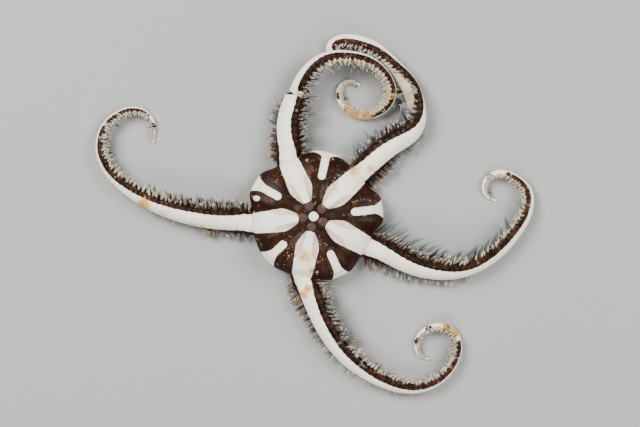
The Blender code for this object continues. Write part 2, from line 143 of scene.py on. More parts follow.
# Round the side of the disc, ivory lies above one height and cream below another, and the
# sole is well inside the cream
IVORY_ABOVE = 1.1
CREAM_BELOW = 0.5
SOLE_CREAM = 0.6

# Surface values at the very middle of the back and of the mouth's roof
POLE_VALUES = {
    "ivory": (0.6, -1.0),
    "cream": (-2.0, 0.6),
    "olive": (0.0, 0.0),
    "plum": (-1.0, -1.0),
    "facet": (-1.0, -1.0),
    # The crack's value paints shade onto the mouth's roof
    "crack": (-1.0, 0.03),
}

# Small plates round the middle of the back
CENTRE_PLATE_RADIUS = 0.6
RING_PLATE_RADIUS = 0.57
RING_PLATE_PLACE = 1.36
PLATE_RISE = 0.2

# Mouth. Above the height of the gape its roof is painted dark as shade, like the crack
MOUTH_REACH = 3.0
JAW_REACH = 1.1
MOUTH_DEPTH = 1.1
MOUTH_ROOF = 0.35
JAW_CURVE = 0.7
MOUTH_SHADE_HEIGHT = 0.9
MOUTH_SHADE_SHARPNESS = 0.15

# Arms
ARM_HEIGHT_RATIO = 0.88
ARM_TAPER = 0.6
ARM_ROOT_PINCH = 0.9
ARM_PINCH_LENGTH = 3.0
TIP_RADIUS = 0.16
ARM_INNER_END = -2.6
BODY_SINK = 0.05
HIDDEN_LIFT = 0.12
HIDDEN_END = (-1.5, -1.1)
PATH_STEP = 0.05
ROOT_DIP = 0.16
ROOT_DIP_LENGTH = 0.9
ROOT_START = (4.5, 6.0)
ROOT_SOFTNESS = 0.3

# A healed break: the thinner arm beyond it, its crack and the pale collar of new tissue. The
# crack is shut up to one angle, opens over the next number of degrees and ends between two
# angles, all in degrees from the middle of the back
REGROWN_RADIUS = 0.8
REGROWN_STEP = 0.06
CRACK_HALF_WIDTH = 0.22
CRACK_DEPTH = 0.1
CRACK_SHUT = -42.0
CRACK_OPENING = 50.0
CRACK_END = (55.0, 90.0)
CRACK_EDGE = (-0.02, 0.05)
CRACK_RINGS = np.linspace(-0.2, 0.2, 21)
COLLAR_PLACE = 0.3
COLLAR_REACH = 0.5
COLLAR_ANGLE = 47.0

# Relief of the plates, as shares of the arm's radius: low waves along the back, lumps and a
# crease beside it and a groove below. Edges, places and widths are in degrees round the arm
BACK_WAVE = 0.012
SIDE_LUMP = 0.05
SIDE_LEVEL = 0.45
SIDE_EDGES = (14, 16)
CREASE_DEPTH = 0.03
CREASE_PLACE = (4, 5.0)
UNDER_DEPTH = 0.05
UNDER_PLACE = (180.0, 14.0)

# How far out, and with what roll, the middle line of an arm sets off along its ray
PATH_START = ((4.2, 0.0), (ROOT_RADIUS, 8.0))

ARM_COLUMNS = 40
ARM_RING_STEP = 0.12

# Segments of an arm: their pitch at the root and at the tip
SEGMENT_PITCH = (0.92, 0.32)
FIRST_SEGMENT = -3.0

Arm = namedtuple("Arm", "name ray radius curl regrown tip stations")

# A curl of 1 turns left on the way out, -1 turns right. A regrown arm is thinner from its
# healed break on. A tip is where the brown band ends, and the brown patches beyond. Each
# station is x, y, the roll of the back towards the outside of the curl and, where there is
# one, the lift off the floor.
ARMS = (
    Arm("arm_left", 2, 1.65, -1, None, (31.7, (33.1,)), (
        (-9.5, -0.45, 24), (-11.8, -0.25, 34), (-15.8, 0.35, 38), (-19.95, 1.75, 50),
        (-23.5, 3.85, 65), (-25.6, 6.0, 78), (-26.55, 8.35, 86), (-26.0, 11.15, 89),
        (-24.75, 12.5, 85), (-22.95, 13.3, 82), (-21.1, 12.9, 84), (-20.15, 11.65, 84),
        (-20.1, 10.4, 87), (-20.1, 9.35, 90),
    )),
    Arm("arm_upper_left", 1, 1.65, -1, 8.35, (29.7, (32.0, 34.0)), (
        (-3.1, 8.9, 24), (-3.2, 10.9, 34), (-2.95, 13.0, 38), (-2.4, 14.5, 42, 0.1),
        (-1.85, 16.0, 58, 0.6), (-0.9, 17.7, 66, 1.3), (1.7, 19.65, 80, 1.75),
        (4.5, 19.85, 86, 1.75), (7.2, 19.1, 92, 1.65), (8.9, 17.6, 100, 1.25),
        (9.7, 15.8, 104, 0.8), (9.25, 14.1, 102, 0.4), (7.7, 12.9, 99, 0.1), (6.0, 12.65, 96),
        (4.3, 13.4, 93), (3.2, 14.8, 90), (3.2, 16.1, 90), (3.9, 16.85, 90), (4.8, 17.0, 90),
        (5.8, 16.5, 90),
    )),
    Arm("arm_upper_right", 0, 1.65, 1, None, (31.5, (33.2,)), (
        (7.5, 7.05, 12), (9.8, 9.05, 28), (11.9, 10.45, 42), (12.75, 11.7, 64),
        (12.85, 13.6, 96), (12.3, 15.7, 114), (11.4, 17.2, 110), (10.0, 18.8, 92),
        (8.3, 20.55, 75), (6.6, 21.55, 62), (4.5, 22.1, 60), (3.15, 22.0, 62), (2.35, 21.45, 56),
        (2.25, 20.75, 36), (2.8, 20.1, 26), (4.0, 19.8, 16), (5.5, 19.6, 8), (7.0, 19.05, 0),
        (8.25, 18.0, 0), (9.0, 16.7, 0), (9.3, 15.6, 0),
    )),
    Arm("arm_right", 4, 1.6, 1, None, (29.9, (32.0,)), (
        (8.95, -4.4, 24), (11.25, -5.5, 38), (14.2, -6.5, 47), (17.0, -6.75, 57),
        (19.35, -6.35, 67), (21.5, -5.35, 67), (23.85, -3.5, 64), (25.2, -1.9, 66),
        (26.2, -0.45, 67), (26.8, 1.0, 68), (26.95, 2.4, 70), (26.6, 3.55, 76), (25.6, 4.5, 84),
        (24.15, 5.3, 90), (22.55, 5.25, 90), (21.55, 4.4, 90), (21.4, 3.5, 90), (21.85, 2.5, 90),
        (22.9, 2.0, 90),
    )),
    Arm("arm_lower", 3, 1.5, 1, None, (29.9, (30.9, 32.1, 34.35, 36.6)), (
        (-0.65, -9.2, 24), (0.55, -11.85, 42), (2.0, -14.7, 46), (3.9, -17.2, 50),
        (6.4, -19.25, 56), (8.7, -20.5, 63), (11.0, -21.25, 69), (13.2, -21.3, 76),
        (15.35, -20.5, 84), (17.25, -18.65, 90), (17.95, -16.95, 94), (17.9, -15.35, 94),
        (17.1, -14.25, 92), (15.45, -13.8, 90), (14.0, -14.3, 90), (13.1, -15.2, 90),
        (12.9, -16.4, 90), (13.3, -17.4, 90), (14.4, -17.9, 90),
    )),
)

# Half the angle that the ivory band takes round an arm, at places along it, and where the
# cream begins, in degrees from the middle of the back, at the root and further out
IVORY_PLACES = (-0.3, 2.0, 6.0)
IVORY_HALF_ANGLES = (55.0, 46.0, 51.0)
IVORY_SCALLOP = 2.5
IVORY_LEVEL = 0.6
ROLL_START = (-0.5, 3.0)
CREAM_ANGLE = (124.0, 108.0)
CREAM_RISE = (7.0, 18.0)
PATCH_HALF_LENGTH = 0.42
PATCH_EDGES = (0.25, 0.2)

# Ochre stains: x, y, radius, strength
STAIN_FALL = 1.4
STAINS = (
    (-21.2, 1.6, 1.1, 1.0),
    (-18.6, 0.4, 0.8, 0.5),
    (-0.7, -9.0, 0.75, 0.9),
    (-1.15, -9.75, 0.62, 1.0),
    (-1.9, -8.0, 0.5, 0.5),
    (-1.1, -4.9, 1.3, 0.72),
    (5.2, 5.7, 0.9, 0.75),
    (7.0, 5.9, 0.8, 0.7),
    (4.8, 12.9, 1.5, 1.0),
    (6.6, 12.5, 1.3, 0.8),
    (9.9, 15.0, 0.9, 0.5),
    (17.6, -14.4, 1.0, 0.8),
    (16.4, -13.6, 0.8, 0.7),
    (2.9, 3.3, 0.7, 0.4),
    (-1.2, 4.5, 0.7, 0.3),
)

# Pale dots on the brown skin of the back: x, y, half length, half breadth
DOTS = ((-7.1, 2.25, 0.45, 0.34),)

# Clinging grains: x, y, spread, count, size as a share of the usual and depth of the heap
GRAIN_SIZES = (0.06, 0.2)
GRAIN_WIDTH = (0.7, 1.1)
GRAIN_RISE = 0.2
LOWEST_GRAIN = 0.6
GRAIN_DROP = 6.0
GRAIN_MAP = 80.0
HEAP_TINT = 0.4
CRUMB_NOISE = 2.2
CRUMB_PUSH = 1.1
GRAIN_PATCHES = (
    (3.9, 7.3, 0.5, 18, 1.2, 0.1),
    (5.0, 1.7, 0.4, 12, 1.0, 0.0),
    (0.15, 1.6, 0.3, 8, 1.0, 0.0),
    (-0.2, -6.7, 0.5, 18, 1.1, 0.0),
    (1.5, -3.4, 0.4, 8, 0.8, 0.0),
    (-11.2, 1.7, 0.5, 12, 1.1, 0.0),
    (-9.4, 1.4, 0.5, 8, 1.0, 0.0),
    (-19.8, 2.9, 0.4, 8, 1.2, 0.1),
    (-15.2, -1.25, 0.7, 44, 1.0, 0.1),
    (-14.0, -1.5, 0.5, 30, 1.2, 0.1),
    (3.2, -4.9, 0.7, 6, 0.8, 0.0),
    (-3.6, -5.2, 1.2, 12, 0.8, 0.0),
    (-4.6, 4.6, 1.0, 10, 0.8, 0.0),
    (5.9, 2.6, 0.9, 9, 0.8, 0.0),
    (2.9, 5.1, 0.9, 9, 0.8, 0.0),
    (17.0, -13.9, 0.5, 34, 1.3, 0.15),
    (15.6, -13.4, 0.4, 8, 1.2, 0.1),
    (5.0, 12.7, 0.8, 110, 1.3, 0.1),
    (6.6, 12.6, 0.7, 60, 1.2, 0.1),
    (3.6, 14.0, 0.5, 14, 1.0, 0.0),
    (1.5, -9.2, 0.5, 30, 1.2, 0.1),
    (1.9, -10.2, 0.4, 20, 1.2, 0.1),
    (-0.7, -9.0, 0.4, 16, 0.8, 0.0),
    (-1.3, -9.7, 0.4, 16, 0.8, 0.0),
    (-21.3, 1.5, 0.6, 26, 0.9, 0.0),
)

# Lumps of grains caught between spines: x, y, height, radius, count
CLUMP_GRAIN = (0.14, 0.3)
CLUMP_WIDTH = 0.9
CLUMPS = (
    (-13.55, -1.75, 0.95, 0.36, 60),
    (-13.15, -2.0, 0.9, 0.42, 80),
    (-12.85, -2.35, 0.75, 0.28, 36),
    (-2.85, -8.9, 0.9, 0.4, 50),
    (-2.45, -9.6, 0.8, 0.3, 26),
    (-2.15, -10.8, 0.8, 0.25, 18),
)

# Spines. Each row has the angle from the middle of the back, the kind, the number for each
# segment, the length in millimetres, the width and the chance that a spine is there. Rows
# near the disc give way to a short cream fringe between the two places of FRINGE_START.
GLASSY, STUB, TOOTH = 0.0, 1.0, 2.0
Row = namedtuple("Row", "angle kind count length width chance")
INNER_ROWS = (
    Row(95.0, STUB, 2, 0.6, 0.34, 0.5),
    Row(105.0, STUB, 2, 0.85, 0.37, 0.62),
    Row(110.0, GLASSY, 1, 1.85, 0.54, 0.75),
    Row(116.0, STUB, 2, 1.0, 0.38, 0.62),
    Row(127.0, STUB, 1, 1.1, 0.44, 0.8),
    Row(132.0, GLASSY, 1, 1.35, 0.5, 0.25),
    Row(144.0, STUB, 1, 0.6, 0.36, 0.7),
)
OUTER_ROWS = (
    Row(84.0, STUB, 1, 1.1, 0.44, 0.5),
    Row(94.0, STUB, 1, 1.4, 0.54, 0.95),
    Row(101.0, GLASSY, 1, 1.6, 0.68, 0.35),
    Row(112.0, STUB, 1, 1.2, 0.48, 0.8),
    Row(126.0, STUB, 1, 0.9, 0.4, 0.8),
)
FRINGE_ROWS = (
    Row(104.0, TOOTH, 1, 0.66, 0.4, 0.95),
    Row(115.0, TOOTH, 1, 0.6, 0.38, 0.75),
    Row(122.0, GLASSY, 1, 1.3, 0.46, 0.25),
    Row(127.0, TOOTH, 1, 0.6, 0.36, 0.8),
    Row(140.0, TOOTH, 1, 0.55, 0.34, 0.8),
)
FRINGE_START = (9.0, 16.0)
PALE_START = (8.0, 16.0)
BLADE_END = (19.5, 24.0)
BLADE_LEAST = 0.4
FRINGE_SHIFT = 0.55
FIRST_SPINE = 0.2
LAST_SPINE = 0.3
OUTER_GREY_START = (2.0, 9.0)
OUTER_FADE = (1.5, 10.0)
OUTER_LEAST = 0.62
OUTER_THIN = 0.5
OUTER_WIDTH = 0.85
OUTER_LEAN = 0.4
OUTER_GREY = (0.5, 0.9)
MAIN_OUTER_ROW = 94.0
MATTED = 0.75

# Spread of the spines' length, width, lean, angle, place and greyness
LENGTH_SPREAD = (0.55, 1.2, 1.0)
WIDTH_SPREAD = (0.85, 1.15)
LEAN_SPREAD = (0.6, 1.3)
GLASSY_STRAY = 0.2
STUB_STRAY = 0.55
ANGLE_STRAY = 4.0
GLASSY_ROW_STRAY = 0.12
ROW_STRAY = 0.3
GREY_SPREAD = (0.4, 1.6)
GREYEST = 0.9

# Spines shrink with the arm: by its share of the root's radius, times the first number and at
# most 1, down to these shares of their length and width
FULL_THICKNESS = 1.25
THIN_LENGTH = 0.45
THIN_WIDTH = 0.5

# How spines stand: how level they are, how far they rise, more so where the arm lies on its
# side, and how they bend
STUB_LEAN = 0.6
LEAST_LEVEL = 0.75
HALF_LEVEL = 0.4
STEEP_ROLL = (98.0, 110.0)
EDGE_TURN = 1.0
RISE = 0.45
LOWEST_RISE = -0.1
STEEP_RISE = 2.0
RISE_SPREAD = (-0.05, 0.14)
BEND_SPREAD = (0.03, 0.14)
BEND_RISE = 0.3

# Room for spines: how they are kept off the floor and out of the other arms
BALL_STEP = 0.4
OWN_REACH = 4.0
CLEAR_GAP = 0.05
LOWEST_ROOT = 0.3
LOWEST_ROOT_WIDTHS = 0.6
HIGHEST_FOOTING = 0.9
TURN_BACK = 0.96
LOWEST_TIP = 0.1
SHORTEST_SPINE = 0.18
SHRINK_STEP = 0.85
LIFT_STEP = 0.06
ROOT_SINK = 0.12

# Form of a spine, and its patch of the bake map
RING_SPACING = 1.6
CAP_START = 0.08
PATCH_SLANT = 0.3
PATCH_SPREAD = 0.45
PATCH_ROWS = (0.03, 0.97)

# Where the arm is rolled onto its side, its under side may be bare beyond this angle
BARE_ANGLE = 106.0
BARE_ROLL = (90.0, 100.0)

# A rare low nub on the outer edge, beyond the outer spines, at this angle from straight up
NUB_ROW = Row(94.0, STUB, 1, 0.75, 0.24, 0.5)

# The kinds of spine: piece, width of the tip as a share of the root's, how late the taper
# sets in, and the share of the length that is rounded off
SPINE_SHAPES = (
    (GLASSY, "long_spines", 0.2, 1.5, 0.06),
    (STUB, "short_spines", 0.72, 1.5, 0.28),
    (TOOTH, "fringe", 0.42, 1.2, 0.3),
)

STEEPEST_ROOT = 112.0
HIDDEN_ROOT = 158.0

# The look of each arm's spines: length of the outer ones near the disc as a share of the
# longest, where they end, lean towards the tip, grey share of the fringe, length of the
# glassy ones as a share of their row's, how far up the arm the inner rows are shifted, how
# bare the under side is where the arm lies on its side, and the chance of a glassy one in
# each segment of the fringe
Style = namedtuple("Style", "outer end lean grey glassy shift bare blades")
STYLES = {
    "arm_left": Style(0.65, 6.2, 0.15, 0.5, 0.85, 15.0, 0.0, 0.25),
    "arm_upper_left": Style(1.0, 7.3, 0.3, 0.2, 1.15, 0.0, 0.5, 0.25),
    "arm_upper_right": Style(1.0, 12.5, 0.5, 0.75, 1.1, 0.0, 1.0, 0.25),
    "arm_right": Style(0.9, 22.5, 0.7, 0.45, 1.6, 0.0, 0.0, 0.6),
    "arm_lower": Style(1.1, 14.0, 0.4, 0.65, 1.1, 2.0, 0.0, 0.25),
}

# Colours that come in only as shades of the ones in the panel
DEEP_BROWN = (0.004, 0.002, 0.002)
JOINT_SHADE = (0.52, 0.47, 0.38)
STAIN_TINGE = (0.66, 0.45, 0.2)
CREAM_ROOT = (0.3, 0.22, 0.15)
GREY_ROOT = (0.19, 0.17, 0.15)
GREY_END = (0.24, 0.235, 0.2)
DUST = ((0.17, 0.13, 0.09), (0.42, 0.36, 0.26))

# Layers of colour, laid one over another: the value that guides each, where it sets in and
# is full, its share at both, and its colour or the name of its setting
Layer = namedtuple("Layer", "guide start full least most colour")
LAYERS = {
    "side": (Layer("outness", 0.2, 0.6, 0.3, 0.9, "russet"),),
    "shield": (Layer("blotch", 0.35, 0.75, 0.0, 0.6, "russet"),),
    "plates": (Layer("plum", -0.03, 0.05, 0.0, 1.0, "plum"),),
    "pale": (
        Layer("speck", 0.3, 0.75, 0.0, 0.3, (0.70, 0.67, 0.60)),
        Layer("blotch", 0.5, 0.75, 0.0, 0.4, (0.74, 0.66, 0.53)),
        # Painted shade on the sloping sides of the disc's stripes
        Layer("facet", -0.04, 0.08, 0.0, 0.85, "facet"),
        # Painted shade: the ivory greys towards its edges, where the arms and stripes round away
        # from the light
        Layer("ivory", 0.3, 0.0, 0.0, 0.45, (0.60, 0.57, 0.52)),
        # Painted shade: a blue-grey line in the step round the disc's margin, where the arms meet
        # it
        Layer("rim", 0.22, 0.04, 0.0, 0.4, (0.42, 0.47, 0.50)),
    ),
    "under": (
        Layer("blotch", 0.35, 0.65, 0.0, 1.0, (0.36, 0.31, 0.23)),
        Layer("lump", 0.3, 0.0, 0.0, 0.55, (0.22, 0.17, 0.12)),
    ),
    "wounds_and_shade": (
        Layer("healed", 0.15, 0.45, 0.0, 0.9, (0.62, 0.53, 0.46)),
        # Painted shade, near black, in the crack of the healed break and in the mouth
        Layer("crack", -0.03, 0.01, 0.0, 1.0, (0.012, 0.008, 0.007)),
    ),
    "stains": (Layer("grainy", -0.78, -0.4, 0.0, 0.9, "ochre"),),
    "glass": (
        Layer("reach", 0.0, 0.22, 0.0, 1.0, "spine_glass"),
        Layer("reach", 0.6, 1.0, 0.0, 0.5, "spine_tip"),
        Layer("tint", 0.4, 1.0, 0.0, 0.4, (0.24, 0.25, 0.25)),
    ),
    "stub": (Layer("reach", 0.05, 0.4, 0.0, 1.0, "spine_body"),),
    "stub_blotches": (Layer("blotch", 0.4, 0.7, 0.0, 0.5, (0.12, 0.08, 0.06)),),
    "stub_tip": (Layer("tint", 0.0, 1.0, 0.0, 0.7, "cream"),),
    "cream_stub": (Layer("reach", 0.0, 0.5, 0.0, 1.0, "cream"),),
    "crumb": (Layer("tint", 0.3, 1.0, 0.0, 1.0, (0.6, 0.5, 0.34)),),
    "crumb_specks": (Layer("speck", 0.4, 0.7, 0.0, 0.5, (0.16, 0.1, 0.05)),),
}

# Mottle of each material: scale of its blotches and specks for a metre, and depth in metres
MOTTLES = {
    "living_skin": (420.0, 4200.0, 0.000025),
    "spines": (700.0, 6000.0, 0.00001),
    "clinging_grains": (1500.0, 8000.0, 0.00002),
}
BLOTCH_DETAIL = (4.0, 0.55)
SPECK_DETAIL = (2.0, 0.55)

# Noise in the skin: its scale for a metre, its detail and its roughness
SKIN_NOISE = {
    "ivory": (1400.0, 2.0, 0.55),
    "cream": (1900.0, 3.0, 0.55),
    "patchy": (900.0, 4.0, 0.65),
    "pallor": (1500.0, 3.0, 0.55),
    "healed": (1600.0, 2.0, 0.55),
    "grainy": (2600.0, 5.0, 0.7),
    "flecks": (420.0, 3.0, 0.55),
}
IVORY_WOBBLE = 0.16
CREAM_FRAY = 0.5
HEALED_FRAY = 1.2
PATCHY_LUMPS = 0.13
PALLOR_OUTWARD = 0.28
STAIN_GRAIN = -2.2

# Ranges of the masks: where each sets in and is full and, in some, its share at both
IVORY_RANGE = (-0.025, 0.03)
CREAM_RANGE = (-0.08, 0.1)
PATCHY_RANGE = (0.42, 0.76)
FLECK_RANGE = (0.27, 0.14)
FLECK_ZONE = (0.54, 0.66)
FLECK_SHARES = (0.35, 0.9)
PALLOR_RANGE = (0.79, 0.85, 0.0, 0.9)
JOINT_RANGE = (0.2, 0.0, 0.0, 0.22)
TINGE_RANGE = (0.1, 0.9, 0.0, 0.3)
STUB_TIP_RANGE = (0.5, 1.0)
GREY_TIP_RANGE = (0.1, 0.8)
SPINE_STAIN_RANGE = (0.2, 0.8, 0.1, 0.7)
GRAIN_STAIN_RANGE = (0.8, 0.4, 0.2)
DEEP_SHARE = 0.7
OLIVE_SHARE = 0.75

# Relief of the skin: scales for a metre, and the strength and depth in metres of each bump
FLECK_SCALE = 3300.0
PEBBLE_SCALE = 3400.0
PEBBLE_BUMP = (0.45, 0.00005)
GROOVE_BUMP = (0.35, 0.00003)
GRAIN_BUMP = 0.6

# Gloss of the materials
SKIN_ROUGHNESS = (0.42, 0.5)
ROUGHNESS_SPREAD = 0.16
SPINE_ROUGHNESS = (0.22, 0.42)
GRAIN_ROUGHNESS = 0.5
FLOOR_ROUGHNESS = 0.8
SKIN_SPECULAR = 0.16
SKIN_GLOW = 0.08
GLOW_DEPTH = 0.0004
GLOW_REACH = (1.0, 0.6, 0.35)
SPINE_IOR = 1.4

# The values on the skin that guide its colours. The crack's value also paints shade into the open
# mouth
SKIN_VALUES = ("ivory", "cream", "olive", "plum", "facet", "crack", "disc", "segment", "rim",
               "pale_edge", "outness", "stain")

# Stage
FLOOR_REACH = 1.5
FLOOR_DEPTH = 0.00002
LAMP_COLOUR = (1.0, 0.97, 0.92)
SKY_COLOUR = (1.0, 0.98, 0.95, 1.0)
SKY_STRENGTH = 0.25
LAMPS = (
    ("key", (-0.16, 0.12, 0.2), 0.16, 1.0),
    ("fill", (0.18, 0.06, 0.16), 0.14, 0.45),
    ("front", (0.02, -0.2, 0.15), 0.14, 0.3),
)

# The middle of the photograph, from the disc's middle, and the height it is focused on
VIEW_CENTRE = (0.79, 0.375)
VIEW_HEIGHT = 1.5
SENSOR_WIDTH = 36.0
CLIP_START = 0.01


def smoothstep(low, high, value):
    t = np.clip((np.asarray(value, dtype=float) - low) / (high - low), 0.0, 1.0)
    return t * t * (3.0 - 2.0 * t)


def blend(low, high, share):
    return low + (high - low) * share


def metres(points):
    """Points in millimetres round the disc's middle, as metres in the frame."""
    return (np.asarray(points) + (*DISC_CENTRE, 0.0)) * MM


def polar(radius, angle):
    turn = np.radians(angle)
    return radius * np.cos(turn), radius * np.sin(turn)


# Shape of the disc

def ray_offset(angle):
    """Signed angle in degrees from the nearest ray."""
    return (angle - FIRST_RAY + RAY_STEP / 2) % RAY_STEP - RAY_STEP / 2


def margin_radius(angle):
    """Radius of the disc's outline: flat sockets on the rays, round lobes between them."""
    offset = np.abs(ray_offset(angle))
    lobe = lobe_values(angle, LOBE_RADII)
    socket = ROOT_RADIUS / np.cos(np.radians(np.minimum(offset, SOCKET_HALF_ANGLE)))
    return blend(socket, lobe, smoothstep(SOCKET_HALF_ANGLE, LOBE_FULL_ANGLE, offset))


def stripe_half_width(along):
    """Half the width of a pale stripe: it swells from its tip and then narrows slowly."""
    share = np.maximum((along - STRIPE_TIP) / (STRIPE_WIDEST - STRIPE_TIP), 0.0)
    outward = (along - STRIPE_WIDEST) / (ROOT_RADIUS - STRIPE_WIDEST)
    inner = blend(STRIPE_TIP_HALF_WIDTH, STRIPE_HALF_WIDTH, share ** STRIPE_SWELL)
    outer = blend(STRIPE_HALF_WIDTH, STRIPE_ROOT_HALF_WIDTH, outward)
    least = -np.logaddexp(-inner / STRIPE_SHOULDER, -outer / STRIPE_SHOULDER)
    return np.where(along < STRIPE_TIP, 0.0, STRIPE_SHOULDER * (least + STRIPE_WIDENING))


def across_ray(radius, angle):
    """Distance along the nearest ray, and away from its middle line."""
    offset = np.radians(ray_offset(angle))
    return radius * np.cos(offset), np.abs(radius * np.sin(offset))


def across_band(radius, angle):
    """Distance from the middle line between two rays."""
    return radius * np.sin(np.radians(RAY_STEP / 2 - np.abs(ray_offset(angle))))


def lobe_values(angle, values):
    """The value of the lobe in which each angle lies."""
    return np.array(values)[((angle - FIRST_RAY) % 360.0 // RAY_STEP).astype(int)]


def band_depth(radius, angle):
    """Signed distance into the pale band between two rays, flared at the margin."""
    side = across_band(radius, angle)
    depth = lobe_values(angle, BAND_FLARE_DEPTHS)
    reach = np.clip(1.0 - (margin_radius(angle) - radius) / depth, 0.0, 1.0)
    half = BAND_HALF_WIDTH + lobe_values(angle, BAND_FLARES) * reach ** BAND_FLARE_CURVE
    start = np.maximum(BAND_INNER_END + BAND_HALF_WIDTH - radius, 0.0)
    return half - np.hypot(side, start)


def stripe_facet(radius, angle):
    """Signed distance in millimetres into the sloping sides of a stripe, which are painted with
    shade.
    """
    along, across = across_ray(radius, angle)
    ridge = np.interp(along, (STRIPE_TIP, STRIPE_WIDEST), FACET_START)
    widen = smoothstep(*FACET_END, along)
    into = across - blend(ridge, STRIPE_HALF_WIDTH + FACET_MARGINS[0], widen)
    return np.minimum(into, stripe_half_width(along) + FACET_MARGINS[1] - across)


def plate_profile(distance, size):
    """A low plate with a rounded rim."""
    return np.sqrt(np.clip(1.0 - (distance / size) ** 4, 0.0, 1.0))


def plate_relief(radius, angle):
    along, across = across_ray(radius, angle)
    ring = np.hypot(along - RING_PLATE_PLACE, across)
    centre = plate_profile(radius, CENTRE_PLATE_RADIUS)
    return PLATE_RISE * np.maximum(centre, plate_profile(ring, RING_PLATE_RADIUS))


def back_relief(radius, angle):
    """Height of the stripes, shields, bands, grooves and plates above the smooth dome."""
    along, across = across_ray(radius, angle)
    half = stripe_half_width(along)
    slope = (half - across) / np.maximum(half - STRIPE_CREST, NARROWEST_SLOPE)
    stripe = STRIPE_RISE * np.clip(slope, 0.0, 1.0)
    offset = np.abs(ray_offset(angle))
    shield = SHIELD_RISE * np.exp(-((radius - SHIELD_PLACE[0]) / SHIELD_SPAN[0]) ** 2
                                  - ((offset - SHIELD_PLACE[1]) / SHIELD_SPAN[1]) ** 2)
    side = across_band(radius, angle)
    band = BAND_RISE * smoothstep(*BAND_START, radius) * (1.0 - smoothstep(*BAND_EDGE, side))
    groove = GROOVE_DEPTH * smoothstep(*GROOVE_START, radius)
    groove = groove * (1 - smoothstep(*GROOVE_END, radius)) * (1.0 - smoothstep(*GROOVE_EDGE, side))
    return np.maximum(stripe, shield) + band - groove + plate_relief(radius, angle)


def dome_height(share):
    inner, outer = DOME_CURVE
    return DISC_WAIST + (DISC_HEIGHT - DISC_WAIST) * np.clip(1.0 - share ** inner, 0, 1) ** outer


def arm_root_height(radius, angle):
    """Height of the nearest arm's top where it runs into the disc."""
    across = across_ray(radius, angle)[1]
    half = ARMS[0].radius * ARM_ROOT_PINCH
    middle = half * ARM_HEIGHT_RATIO
    return middle * (1.0 - BODY_SINK + np.sqrt(np.clip(1.0 - (across / half) ** 2, 0.0, 1.0)))


def back_height(radius, angle, share):
    """Height of the back, run smoothly into the tops of the arms."""
    fade = 1.0 - smoothstep(RIM_FADE, 1.0, share)
    height = dome_height(share) + fade * back_relief(radius, angle)
    dip = ROOT_DIP * smoothstep(ROOT_RADIUS - ROOT_DIP_LENGTH, ROOT_RADIUS, radius)
    arm = arm_root_height(radius, angle) - dip
    joined = 0.5 * (height + arm + np.hypot(height - arm, ROOT_SOFTNESS))
    on_ray = smoothstep(*ROOT_START, radius) * (np.abs(ray_offset(angle)) < SOCKET_HALF_ANGLE)
    return blend(height, joined, on_ray * (share < 1.0))


def sole_height(radius, angle):
    """Height of the under side: flat on the floor, hollowed by the star-shaped mouth."""
    offset = np.abs(ray_offset(angle)) / (RAY_STEP / 2)
    reach = blend(MOUTH_REACH, JAW_REACH, offset ** JAW_CURVE)
    return MOUTH_DEPTH * (1.0 - smoothstep(MOUTH_ROOF, 1.0, radius / reach))


def disc_ivory(radius, angle):
    """Signed distance in millimetres into the pale stripes, bands, plate and dots."""
    along, across = across_ray(radius, angle)
    start = (along - STRIPE_TIP) * STRIPE_TIP_SHARPNESS
    stripe = np.minimum(stripe_half_width(along) - across, start)
    x, y = polar(radius, angle)
    pale = np.maximum(np.maximum(stripe, band_depth(radius, angle)), CENTRE_PLATE_RADIUS - radius)
    for dot_x, dot_y, length, breadth in DOTS:
        reach = np.hypot((x - dot_x) / length, (y - dot_y) / breadth)
        pale = np.maximum(pale, (1.0 - reach) * breadth)
    return pale


# Shape of the arms

def natural_spline(stations, step):
    """Points every step or so along a natural cubic spline through the stations."""
    values = np.array(stations, dtype=float)
    spans = np.linalg.norm(np.diff(values[:, :2], axis=0), axis=1)
    knots = np.concatenate(([0.0], np.cumsum(spans)))
    count = len(knots)
    matrix = np.eye(count)
    pull = np.zeros_like(values)
    slopes = np.diff(values, axis=0) / spans[:, None]
    for i in range(1, count - 1):
        matrix[i, i - 1] = spans[i - 1]
        matrix[i, i] = 2.0 * (spans[i - 1] + spans[i])
        matrix[i, i + 1] = spans[i]
        pull[i] = 6.0 * (slopes[i] - slopes[i - 1])
    bends = np.linalg.solve(matrix, pull)
    place = np.linspace(0.0, knots[-1], int(knots[-1] / step) + 1)
    left = np.clip(np.searchsorted(knots, place, side="right") - 1, 0, count - 2)
    span = spans[left][:, None]
    a = (knots[left + 1] - place)[:, None] / span
    b = 1.0 - a
    line = a * values[left] + b * values[left + 1]
    curve = ((a ** 3 - a) * bends[left] + (b ** 3 - b) * bends[left + 1]) * span ** 2 / 6.0
    return line + curve


